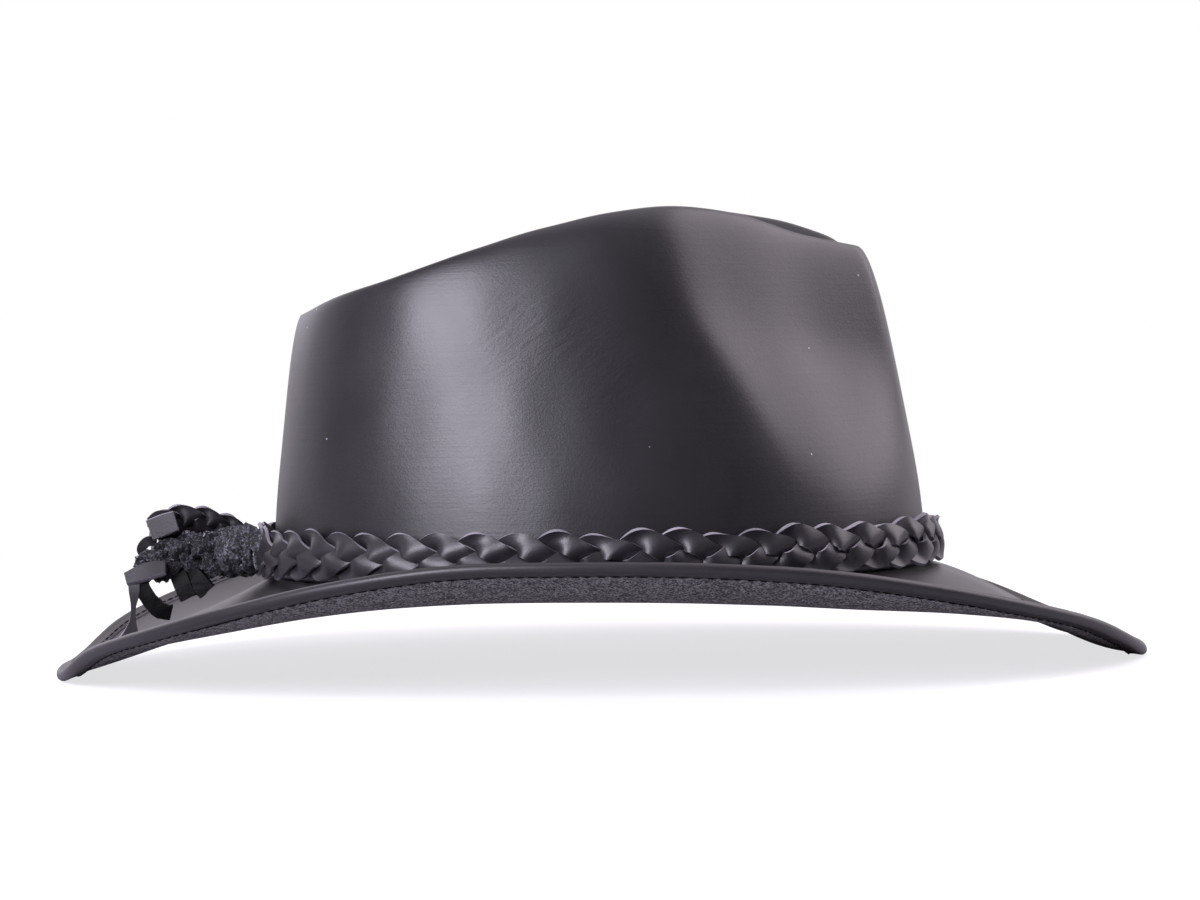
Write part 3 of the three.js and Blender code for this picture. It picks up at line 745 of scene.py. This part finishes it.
def stitch(points, faces, line, length, normals, sign, start, span, aside):
    """One bar of thread along a line, arched a little out of the leather."""
    sides, stations = 6, 5
    base = len(points)
    count = len(line)
    for s in range(stations):
        share = s / (stations - 1)
        at = (start + span * share) % length[-1]
        i = int(np.searchsorted(length, at, side="right") - 1) % count
        k = (i + 1) % count
        f = (at - length[i]) / max(length[i + 1] - length[i], 1e-9)
        along = unit(line[k] - line[i])
        up = normals[i] * sign
        across = np.cross(along, up)
        arch = math.sin(math.pi * share)
        radius = THREAD_RADIUS * (0.7 + 0.3 * arch)
        centre = line[i] * (1 - f) + line[k] * f + up * (arch * 0.12 - 0.06) * MM + across * aside
        for a in range(sides):
            angle = TAU * a / sides
            points.append(centre + (across * math.cos(angle) + up * math.sin(angle)) * radius)
    for s in range(stations - 1):
        for a in range(sides):
            b = (a + 1) % sides
            low = base + s * sides
            faces.append((low + a, low + b, low + sides + b, low + sides + a))
    faces.append(tuple(base + a for a in reversed(range(sides))))
    faces.append(tuple(base + (stations - 1) * sides + a for a in range(sides)))


# The turns between which the seam's two ends overlap, stitched twice
BACK_TACK = (219, 226)


def make_stitches():
    """Short bars of thread, sunk a little into the binding, above and below."""
    columns = 1440
    turns = np.arange(columns) * 360 / columns
    edge, out, normal, _ = hem_frame(turns)
    rng = np.random.default_rng(5)
    for label, sign in (("under", -1), ("top", 1)):
        line = edge - out * STITCH_INSET + normal * sign * STITCH_HEIGHT
        length = arc_places(line)
        count = int(length[-1] / STITCH_PITCH)
        pitch = length[-1] / count
        points = []
        faces = []
        for n in range(count):
            span = STITCH_LENGTH * (0.9 + 0.14 * rng.random())
            aside = 0.12 * MM * (rng.random() - 0.5)
            stitch(points, faces, line, length, normal, sign, n * pitch, span, aside)
            turn = 360 * n / count
            if BACK_TACK[0] < turn < BACK_TACK[1]:
                stitch(points, faces, line, length, normal, sign, (n + 0.45) * pitch, span,
                       aside + 0.45 * MM)
        points = np.array(points)
        points[:, 2] = np.maximum(points[:, 2], 0)
        piece = new_piece("stitching_" + label, points, faces, [thread])
        dress(piece, "binding_leather")


# Plaited strands

def closed_path():
    """The middle line of the hatband round the crown, with its outward directions."""
    middle = (strand_low[2] + strand_high[2]) / 2
    row = (middle - crown_foot) / crown_height / SECTION[1, 1]
    turns = np.arange(PATH_STEPS) * 360 / PATH_STEPS
    wall = crown_point(turns, np.full(PATH_STEPS, row))
    along = unit(np.roll(wall, -1, axis=0) - np.roll(wall, 1, axis=0))
    out = unit(np.stack([along[:, 1], -along[:, 0], np.zeros(PATH_STEPS)], axis=1))
    offset = (strand_high[0] - np.abs(wall[:, 0]).max()) / 2
    line = wall + out * offset
    line[:, 2] = middle
    return line, out


def sample_loop(line, values, places):
    """Values at shares of the way along a closed line."""
    length = arc_places(line)
    at = (places % 1) * length[-1]
    extended = np.concatenate([values, values[:1]])
    return np.stack([np.interp(at, length, extended[:, c]) for c in range(3)], axis=1)


def strip_body(name, upper, thickness, materials, closed):
    """A strip of leather from its outer face [i, j], thickened inwards and closed all round.

    Its cut edges are bevelled: the outermost row on either side sinks and shows the cut edge.
    """
    normals = grid_normals(upper, closed_rows=closed)
    sink = np.zeros(upper.shape[1])
    sink[[0, -1]] = thickness * EDGE_SINK
    upper = upper - normals * sink[None, :, None]
    lower = upper[:, 1:-1] - normals[:, 1:-1] * thickness
    first = upper[:, :1] - normals[:, :1] * thickness * 0.5
    last = upper[:, -1:] - normals[:, -1:] * thickness * 0.5
    under = np.concatenate([last, lower[:, ::-1], first], axis=1)
    rings = np.concatenate([upper, under], axis=1)
    count, size = rings.shape[:2]
    width = upper.shape[1]
    kinds = [1] + [0] * (width - 3) + [1, 1, 1] + [2] * (width - 3) + [1, 1]
    faces, which = ring_faces(count, size, kinds, closed)
    if not closed:
        for base in (0, (count - 1) * size):
            for j in range(width - 1):
                faces.append((base + j, base + j + 1, base + size - 2 - j, base + size - 1 - j))
                which.append(1)
    piece = new_piece(name, rings.reshape(-1, 3), faces, materials, which)
    mark_sharp(piece, 42)
    return piece


def plait_strand(centre, out, up, share, strand, repeats, sway, weave, lean, wide, narrow, cup,
                 flare, uneven, seed, size=1.0, drop=0.0, across_count=13):
    """The outer face of one flat strand that weaves along a line. share runs along the line."""
    phase = TAU * (repeats * share + strand / 3)
    steps = np.linalg.norm(np.diff(centre, axis=0), axis=1)
    line_length = steps.sum() / (share[-1] - share[0])
    along = unit(np.cross(up, out))
    zigzag = np.sin(phase) - np.sin(3 * phase) / 18
    tilt = np.arctan(sway * (np.cos(phase) - np.cos(3 * phase) / 6) * TAU * repeats / line_length)
    over = 0.5 - 0.5 * np.sin(2 * phase)
    beat = share * repeats * 6.5
    wobble = [soft_noise(beat, beat * 0.63, np.full_like(share, strand * 3.1 + n), seed + n)
              for n in range(6)]
    width = (narrow + (wide - narrow) * over) * (1 + 0.08 * uneven * wobble[0]) * size
    rise = (sway * zigzag + 0.5 * MM * uneven * wobble[1]) * size
    rise = rise - drop * np.maximum(np.sin(phase), 0) ** 1.5
    depth = (-weave * np.sin(2 * phase) + 0.3 * MM * uneven * wobble[2]) * size
    slant = -lean * np.cos(3 * phase) * (1 + 0.5 * uneven * wobble[3])
    at_top = np.maximum(np.sin(phase), 0) ** 6 * np.clip(1 + uneven * wobble[4], 0, 2)
    at_foot = np.maximum(-np.sin(phase), 0) ** 6 * np.clip(1 + uneven * wobble[5], 0, 2)
    places = np.concatenate([[-1], np.linspace(EDGE_BEVEL - 1, 1 - EDGE_BEVEL, across_count - 2), [1]])
    rows = []
    for q in places:
        side = q * width / 2
        bulge = cup * (1 - q * q) * (0.4 + 0.6 * over)
        buckle = flare * (at_top * max(q, 0) ** 2 + at_foot * max(-q, 0) ** 2)
        point = (centre
                 + along * (-side * np.sin(tilt))[:, None]
                 + up * (rise + side * np.cos(tilt))[:, None]
                 + out * (depth + slant * side + bulge + buckle)[:, None])
        rows.append(point)
    return np.stack(rows, axis=1)


PLAIT_REPEATS = 17

# Where the band's upper edge sags: turn and reach in degrees, depth in millimetres
SAGS = [(268, 4, 1.9), (287, 4, 2.0), (294.5, 4, 1.5), (310, 6, 1.4), (320, 6, 1.7), (6, 34, 3.0),
        (228, 5, 0.7), (243, 4, 0.8), (200, 9, 0.9), (160, 20, 0.8), (100, 22, 1.0)]

# Near the front the whole band droops, and it lies closer to the crown, in the same terms
FRONT_DROOP = (40, 40, 2.0)
FRONT_TIGHT = (5, 30, 1.0)


def sag_at(turns, turn, reach, depth):
    """How deep one sag is at each turn."""
    away = fold_turn(turns - turn)
    return depth * MM * (1 - smooth_step(0, reach, away))


def make_band():
    """The three flat strands of the hatband, full width and a little uneven."""
    line, out_line = closed_path()
    turns = np.arange(len(line)) * 360 / len(line)
    line[:, 2] += BAND_LIFT - sag_at(turns, *FRONT_DROOP)
    line = line - out_line * sag_at(turns, *FRONT_TIGHT)[:, None]
    sags = np.sum([sag_at(turns, *sag) for sag in SAGS], axis=0)
    steps = PLAIT_REPEATS * STEPS_PER_REPEAT
    share = np.arange(steps + 1) / steps
    centre = sample_loop(line, line, share)
    out = unit(sample_loop(line, out_line, share))
    drop = sample_loop(line, np.stack([sags] * 3, axis=1), share)[:, 0]
    up = unit(np.array([0.0, 0.0, 1.0]) - out * 0.1)
    for strand in range(3):
        face = plait_strand(centre, out, up, share, strand, PLAIT_REPEATS, sway=4.1 * MM,
                            weave=1.2 * MM, lean=0.26, wide=6.9 * MM, narrow=6.5 * MM,
                            cup=0.6 * MM, flare=0.9 * MM, uneven=1.0, seed=40, drop=drop)[:-1]
        face = face + out[:-1, None] * BAND_OUTWARD
        piece = strip_body("hatband_strand_%d" % (strand + 1), face, STRAND_THICKNESS,
                           [plait_leather, cut_edge, inner_suede], closed=True)
        dress(piece, "plait_leather", "band_strand_%d" % (strand + 1))


# Knot and tails

def smooth_rows(rows, steps):
    """Values between the rows of a short table, evenly stepped, one column each."""
    table = np.array(rows, dtype=float)
    place = np.linspace(0, len(table) - 1, steps)
    return [smooth_value(table[:, c], place) for c in range(table.shape[1])]


def join_pieces(name, pieces):
    """One piece from several, keeping each one's leathers."""
    joined = bmesh.new()
    materials = []
    for piece in pieces:
        slots = []
        for material_slot in piece.data.materials:
            if material_slot not in materials:
                materials.append(material_slot)
            slots.append(materials.index(material_slot))
        before = len(joined.faces)
        joined.from_mesh(piece.data)
        joined.faces.ensure_lookup_table()
        for face in joined.faces[before:]:
            face.material_index = slots[face.material_index]
    mesh = bpy.data.meshes.new(name)
    joined.to_mesh(mesh)
    joined.free()
    for material_slot in materials:
        mesh.materials.append(material_slot)
    whole = bpy.data.objects.new(name, mesh)
    bpy.context.scene.collection.objects.link(whole)
    for piece in pieces:
        bpy.data.objects.remove(piece)
    return whole


def roughen(points, normals, amount, seed):
    """Torn, fibrous leather: a coarse and a fine unevenness along the normals."""
    coarse = soft_noise(*(points[..., c] * 1100 for c in range(3)), seed)
    fine = soft_noise(*(points[..., c] * 3300 for c in range(3)), seed + 1)
    return points + normals * (amount * (0.65 * coarse + 0.35 * fine))[..., None]


def plaited_tail(name, rows, repeats, start, materials, sway, wide, narrow, weave, uneven,
                 roughness, seed):
    """Three strands along a short table of places: x, y, z and size, from the free end on."""
    steps = int(56 * repeats)
    x, y, z, size = smooth_rows(rows, steps)
    centre = np.stack([x, y, z], axis=1) * MM
    along = unit(np.gradient(centre, axis=0))
    out = np.tile([0.0, -1.0, 0.0], (steps, 1))
    out = unit(out - along * np.sum(out * along, axis=1, keepdims=True))
    up = unit(np.cross(out, along))
    share = np.linspace(0, 1, steps)
    pieces = []
    for strand in range(3):
        face = plait_strand(centre, out, up, share, strand + start, repeats, sway, weave, 0.34,
                            wide, narrow, 0.6 * MM, 0.5 * MM, uneven, seed, size)
        if roughness:
            face = roughen(face, grid_normals(face), roughness, seed + strand)
        pieces.append(strip_body("%s_strand_%d" % (name, strand + 1), face, TAIL_THICKNESS,
                                 materials, closed=False))
    return pieces


def loose_strip(name, rows, materials, thickness=TAIL_THICKNESS, skew=0.0, roughness=0.0,
                seed=0):
    """A free end of a strand through a short table: x, y, z, width, and how far it faces up."""
    steps = 8 * (len(rows) - 1) + 1
    x, y, z, width, facing = smooth_rows(rows, steps)
    centre = np.stack([x, y, z], axis=1) * MM
    along = unit(np.gradient(centre, axis=0))
    angle = np.radians(facing)
    toward = np.stack([np.zeros(steps), -np.cos(angle), np.sin(angle)], axis=1)
    across = unit(np.cross(along, toward))
    share = np.linspace(0, 1, steps)
    places = np.concatenate([[-1], np.linspace(-0.9, 0.9, 7), [1]])
    face = np.stack([centre + across * (q * width * MM / 2)[:, None]
                     + along * (skew * MM * q * share ** 3)[:, None] for q in places], axis=1)
    flat = grid_normals(face)
    if np.sum(flat * toward[:, None]) < 0:
        face = face[:, ::-1]
    if roughness:
        face = roughen(face, grid_normals(face), roughness, seed)
    return strip_body(name, face, thickness, materials, closed=False)


def wrap_round(name, x, y, z, half_wide, half_high, width, thickness, twist, materials, ragged, seed):
    """A strip wound once about the band's own direction, its edges torn."""
    steps = 96
    angle = np.arange(steps) * TAU / steps
    rows = []
    tear = soft_noise(np.cos(angle) * 9, np.sin(angle) * 9, angle * 0, seed)
    fine = soft_noise(np.cos(angle) * 31, np.sin(angle) * 31, angle * 0, seed + 1)
    for q in np.linspace(-1, 1, 9):
        torn = ragged * (tear + 0.7 * fine) * abs(q) ** 2
        swell = 1 + 0.05 * tear
        across = x + q * (width / 2 + torn) + twist * np.cos(angle)
        lift = 0.5 * MM * (1 - q * q)
        rows.append(np.stack([across, y + (half_wide * swell + lift) * np.cos(angle),
                              z + (half_high * swell + lift) * np.sin(angle)], axis=1))
    face = np.stack(rows, axis=1)
    face = roughen(face, grid_normals(face, closed_rows=True), ragged * 0.5, seed + 2)
    return strip_body(name, face, thickness, materials, closed=True)


def lump(name, x, y, z, half_long, half_wide, half_high, materials, ragged, seed):
    """The gathered strands inside the wraps, as one uneven closed body."""
    count, sides = 22, 56
    angle = np.arange(sides) * TAU / sides
    rows = []
    for v in np.linspace(-1, 1, count):
        bulge = (1 - min(abs(v), 0.999) ** 4) ** 0.5
        rows.append(np.stack([np.full(sides, x + v * half_long), y + half_wide * bulge * np.cos(angle),
                              z + half_high * bulge * np.sin(angle)], axis=1))
    skin = np.stack(rows, axis=1)
    skin = roughen(skin, grid_normals(skin, closed_rows=True), ragged, seed)
    faces = []
    for i in range(sides):
        low = i * count
        next_low = (i + 1) % sides * count
        for j in range(count - 1):
            faces.append((low + j, low + j + 1, next_low + j + 1, next_low + j))
    faces.append(tuple(i * count for i in range(sides)))
    faces.append(tuple(i * count + count - 1 for i in reversed(range(sides))))
    return new_piece(name, skin.reshape(-1, 3), faces, materials)


def make_knot():
    """The gathered strands, two torn wraps round them and one loose end."""
    x, y, z = (knot_low + knot_high) / 2
    leathers = [tail_suede_painted_glints, torn_edge, tail_suede_painted_glints]
    core = lump("knot_core", x + 1.5 * MM, y - 0.5 * MM, z - 0.5 * MM, 8 * MM, 8.4 * MM, 7.6 * MM,
                [tail_suede_painted_glints], 1.3 * MM, 70)
    near_wrap = wrap_round("knot_wrap_near", x + 5.2 * MM, y - 1 * MM, z - 0.2 * MM, 9.2 * MM,
                           7.0 * MM, 3.4 * MM, 1.2 * MM, 0.9 * MM, leathers, 0.9 * MM, 71)
    far_wrap = wrap_round("knot_wrap_far", x - 0.5 * MM, y, z, 8.2 * MM, 7.2 * MM, 5.4 * MM, 1.2 * MM,
                          -1.4 * MM, leathers, 1.0 * MM, 75)
    end_up = loose_strip("knot_end", [(-114, -9.5, 46.5, 4.5, 40), (-110.5, -11.5, 44, 5, 25),
                                      (-108.5, -13, 39, 4.6, 0), (-108.3, -13, 33.5, 3.6, -20)],
                         leathers, skew=1.2, roughness=0.45 * MM, seed=79)
    whole = join_pieces("knot_of_suede", [core, near_wrap, far_wrap, end_up])
    dress(whole, "suede_leather", "band_knot")


# The middle lines of the two tails, from the free end to the knot: x, y, z in millimetres, size
UPPER_TAIL = [
    (-142.2, -1.5, 45.0, 0.75), (-138.8, -1.2, 46.6, 0.98), (-134.5, -1.0, 47.5, 1.05),
    (-129.5, -0.8, 47.8, 1.0), (-124.5, -0.6, 47.0, 0.85), (-119.5, -0.5, 45.8, 0.75),
    (-115.0, -0.5, 44.2, 0.7),
]
LOWER_TAIL = [
    (-147.0, -5.0, 32.6, 0.6), (-142.8, -5.2, 34.2, 0.84), (-138.4, -5.2, 36.0, 0.95),
    (-133.6, -5.0, 37.0, 1.0), (-128.6, -4.6, 37.2, 1.08), (-123.4, -4.2, 36.8, 1.1),
    (-117.0, -3.6, 36.6, 1.05),
]

# The loose ends: x, y, z in millimetres, width, and how far the strip faces up in degrees
SQUARE_END = [(-134.8, -7.6, 48.6, 6.4, 7), (-138.5, -7.2, 47.4, 7.0, 7),
              (-143.2, -6.8, 45.7, 6.8, 7)]
UPPER_FLAP = [(-137.4, -2.4, 50.2, 3.4, 10), (-140.6, -2.8, 49.6, 4.4, 10),
              (-142.8, -3.2, 47.8, 4.2, 10)]
SMALL_LOOP = [(-141.0, -4.5, 42.0, 3.0, 20), (-144.0, -5.0, 42.2, 3.2, 10),
              (-146.0, -5.2, 39.6, 3.0, 0), (-144.4, -5.0, 36.6, 2.6, 0)]
CAP_END = [(-138.4, -10.6, 34.4, 4.6, 34), (-144.2, -9.6, 33.4, 6.2, 34), (-151.0, -8.4, 30.8, 4.6, 34)]
CURLED_END = [(-147.0, -8.0, 31.4, 4.4, 0), (-145.3, -9.0, 26.8, 5.2, 0),
              (-142.7, -9.4, 22.8, 5.2, 0), (-140.2, -9.4, 20.4, 5.4, -6),
              (-136.8, -9.0, 19.4, 5.2, -12)]
POINTED_END = [(-136.0, -3.0, 35.0, 5.6, -8), (-133.8, -7.0, 29.6, 5.8, -8),
               (-131.4, -8.2, 24.0, 5.5, -8)]
SECOND_POINT = [(-133.4, -3.4, 34.4, 6.0, -8), (-129.4, -7.4, 30.2, 6.6, -8),
                (-125.5, -8.8, 25.9, 6.2, -8)]


def make_upper_tail():
    """The smooth tail, with a square end, a flap and a small loop."""
    smooth = [tail_leather, cut_edge, inner_suede]
    bare = [plait_leather, cut_edge, inner_suede]
    pieces = plaited_tail("upper", UPPER_TAIL, 1.35, 0.25, smooth, sway=2.3 * MM, wide=6.4 * MM,
                          narrow=5.8 * MM, weave=1.3 * MM, uneven=0.7, roughness=0, seed=50)
    pieces.append(loose_strip("upper_square_end", SQUARE_END, bare, thickness=1.5 * MM))
    pieces.append(loose_strip("upper_flap", UPPER_FLAP, smooth))
    pieces.append(loose_strip("upper_small_loop", SMALL_LOOP, smooth))
    dress(join_pieces("tail_upper_plait", pieces), "plait_leather", "tail_upper")


def make_lower_tail():
    """The torn suede tail, with a cap, a thin end down to the brim and three dark ends."""
    rough = [dark_suede_painted_glints, torn_edge, dark_suede_painted_glints]
    half = [plait_leather, cut_edge, tail_suede_painted_glints]
    near_black = [near_black_strip_leather, near_black_strip_leather, near_black_strip_leather]
    pieces = plaited_tail("lower", LOWER_TAIL, 1.45, 0.1, rough, sway=3.1 * MM, wide=7.8 * MM,
                          narrow=7.2 * MM, weave=1.7 * MM, uneven=1.2, roughness=0.7 * MM, seed=60)
    foot_x, foot_y = -150.0, -9.0
    ground = brim_surface_height(foot_x * MM, foot_y * MM) / MM + 0.4
    thin_end = [(-148.4, -8.6, 30.6, 3.6, 0), (-148.2, -9.4, 26.6, 3.6, 0),
                (-148.6, -9.6, 22.0, 1.7, 0), (-148.9, -9.6, 18.0, 1.9, 0),
                (-149.4, -9.4, 14.6, 4.0, 10), (foot_x, foot_y, ground, 8.0, 30)]
    pieces.append(loose_strip("lower_cap_end", CAP_END, half, thickness=1.8 * MM))
    pieces.append(loose_strip("lower_thin_end", thin_end, half, thickness=1.1 * MM))
    pieces.append(loose_strip("lower_curled_end", CURLED_END, near_black, thickness=1.6 * MM,
                              roughness=0.2 * MM, seed=91))
    for label, rows, seed in (("pointed_end", POINTED_END, 93), ("second_point", SECOND_POINT, 95)):
        pieces.append(loose_strip("lower_" + label, rows, near_black, roughness=0.12 * MM, seed=seed))
    dress(join_pieces("tail_lower_plait", pieces), "suede_leather", "tail_lower")


make_crown()
make_brim()
make_binding()
make_stitches()
make_band()
make_knot()
make_upper_tail()
make_lower_tail()


# Studio: pale floor, soft lights and the camera

FLOOR_REACH = 12.0
WHITE_FROM = 0.34
WHITE_BY = 0.72
FLOOR_LIT = (0.36, 0.36, 0.36)
FLOOR_GLOW = (0.97, 0.97, 1.0)
FLOOR_MIRRORED = (0.52, 0.5, 0.55)
ROOM_FRONT = (0.2, 0.184, 0.208)
ROOM_BACK = (1.06, 0.98, 1.08)
WHITE = (1, 1, 1)


def coloured(tree, kind, colour, strength=None):
    """One shader with a plain colour."""
    node = add(tree, kind)
    node.inputs["Color"].default_value = (*colour, 1)
    if strength is not None:
        node.inputs["Strength"].default_value = strength
    return node.outputs[0]


def mix_shader(tree, factor, first, second):
    node = add(tree, "ShaderNodeMixShader")
    for slot_index, value in enumerate((factor, first, second)):
        tree.links.new(value, node.inputs[slot_index])
    return node.outputs[0]


def stage_floor():
    """A pale floor that keeps a light shadow near the hat and fades to white further out."""
    mesh = bpy.data.meshes.new("floor")
    corners = [(x * FLOOR_REACH, y * FLOOR_REACH, 0) for x, y in ((-1, -1), (1, -1), (1, 1), (-1, 1))]
    mesh.from_pydata(corners, [], [(0, 1, 2, 3)])
    made = bpy.data.materials.new("Pale floor")
    tree = cleared_tree(made)
    output = add(tree, "ShaderNodeOutputMaterial")
    coordinates = add(tree, "ShaderNodeTexCoord")
    distance = add(tree, "ShaderNodeVectorMath", operation="LENGTH")
    tree.links.new(coordinates.outputs["Object"], distance.inputs[0])
    near = add(tree, "ShaderNodeAddShader")
    tree.links.new(coloured(tree, "ShaderNodeBsdfDiffuse", FLOOR_LIT), near.inputs[0])
    tree.links.new(coloured(tree, "ShaderNodeEmission", FLOOR_GLOW, 0.74), near.inputs[1])
    white = coloured(tree, "ShaderNodeEmission", WHITE, 1.0)
    fade = ramp(tree, distance.outputs["Value"], WHITE_FROM, WHITE_BY)
    seen = mix_shader(tree, fade, near.outputs[0], white)
    mirrored = coloured(tree, "ShaderNodeBsdfDiffuse", FLOOR_MIRRORED)
    to_camera = add(tree, "ShaderNodeLightPath").outputs["Is Camera Ray"]
    tree.links.new(mix_shader(tree, to_camera, mirrored, seen), output.inputs["Surface"])
    mesh.materials.append(made)
    floor = bpy.data.objects.new("floor", mesh)
    bpy.context.scene.collection.objects.link(floor)


def stage_world():
    """Plain white to the camera, and a room that the leather mirrors, bright behind the hat."""
    world = bpy.data.worlds.new("studio")
    bpy.context.scene.world = world
    tree = cleared_tree(world)
    output = add(tree, "ShaderNodeOutputWorld")
    room = add(tree, "ShaderNodeBackground")
    coordinates = add(tree, "ShaderNodeTexCoord")
    split = add(tree, "ShaderNodeSeparateXYZ")
    tree.links.new(coordinates.outputs["Generated"], split.inputs[0])
    behind = ramp(tree, split.outputs["Y"], -0.1, 0.6)
    tree.links.new(mix_colour(tree, behind, ROOM_FRONT, ROOM_BACK), room.inputs["Color"])
    seen = coloured(tree, "ShaderNodeBackground", WHITE, 1.0)
    to_camera = add(tree, "ShaderNodeLightPath").outputs["Is Camera Ray"]
    tree.links.new(mix_shader(tree, to_camera, room.outputs[0], seen), output.inputs["Surface"])


CAMERA_TURN = math.radians(4)
CAMERA_DISTANCE = 1050 * MM
CAMERA_HEIGHT = 96.4 * MM
CAMERA_ROLL = math.radians(1.22)
CAMERA_PITCH = math.radians(1.573)
HAT_MIDDLE = Vector((1.0 * MM, 0, CAMERA_HEIGHT))
LENS = 98.3
LIGHTS_AIM = Vector((0, 0, 80 * MM))


def softbox(name, azimuth, elevation, distance, width, height, radiance, tint):
    """A soft light, placed by its direction from the hat: azimuth from the camera towards +X."""
    a = math.radians(azimuth) - CAMERA_TURN
    e = math.radians(elevation)
    direction = Vector((math.sin(a) * math.cos(e), -math.cos(a) * math.cos(e), math.sin(e)))
    light = bpy.data.lights.new(name, "AREA")
    light.shape = "RECTANGLE"
    light.size = width
    light.size_y = height
    light.energy = radiance * math.pi * width * height
    light.color = tint
    lamp = bpy.data.objects.new(name, light)
    lamp.location = direction * distance + LIGHTS_AIM
    lamp.rotation_euler = (-direction).to_track_quat("-Z", "Y").to_euler()
    lamp.visible_camera = False
    bpy.context.scene.collection.objects.link(lamp)


def stage_lights():
    """One strong light from the left, and weaker ones around."""
    cool = (0.9, 0.865, 1.0)
    warm = (0.98, 0.88, 0.97)
    softbox("left softbox", -37.0, 22, 1.1, 0.56, 0.5, 20.5, cool)
    softbox("right softbox", 104, 36, 1.1, 0.9, 0.95, 3.3, warm)
    softbox("overhead", 0, 88, 1.3, 1.2, 0.9, 1.3, cool)
    softbox("camera fill", -2, 40, 1.6, 0.8, 0.6, 1.5, cool)
    softbox("left back", -135, 25, 1.2, 0.6, 0.8, 1.6, cool)


def stage_camera():
    """Looks at the hat's near side, turned, rolled and tipped as in the photo."""
    side = Vector((math.cos(CAMERA_TURN), -math.sin(CAMERA_TURN), 0))
    forward = Vector((math.sin(CAMERA_TURN), math.cos(CAMERA_TURN), 0))
    zed = Vector((0, 0, 1))
    right = side * math.cos(CAMERA_ROLL) - zed * math.sin(CAMERA_ROLL)
    upward = side * math.sin(CAMERA_ROLL) + zed * math.cos(CAMERA_ROLL)
    look = forward * math.cos(CAMERA_PITCH) - upward * math.sin(CAMERA_PITCH)
    top = upward * math.cos(CAMERA_PITCH) + forward * math.sin(CAMERA_PITCH)
    place = HAT_MIDDLE - forward * CAMERA_DISTANCE
    data = bpy.data.cameras.new("camera")
    data.lens = LENS
    data.sensor_width = 36
    data.clip_start = 0.05
    data.clip_end = 50
    camera = bpy.data.objects.new("camera", data)
    camera.matrix_world = Matrix((
        (right.x, top.x, -look.x, place.x),
        (right.y, top.y, -look.y, place.y),
        (right.z, top.z, -look.z, place.z),
        (0, 0, 0, 1),
    ))
    bpy.context.scene.collection.objects.link(camera)
    bpy.context.scene.camera = camera


stage_floor()
stage_world()
stage_lights()
stage_camera()
bpy.context.scene.view_settings.view_transform = "Standard"
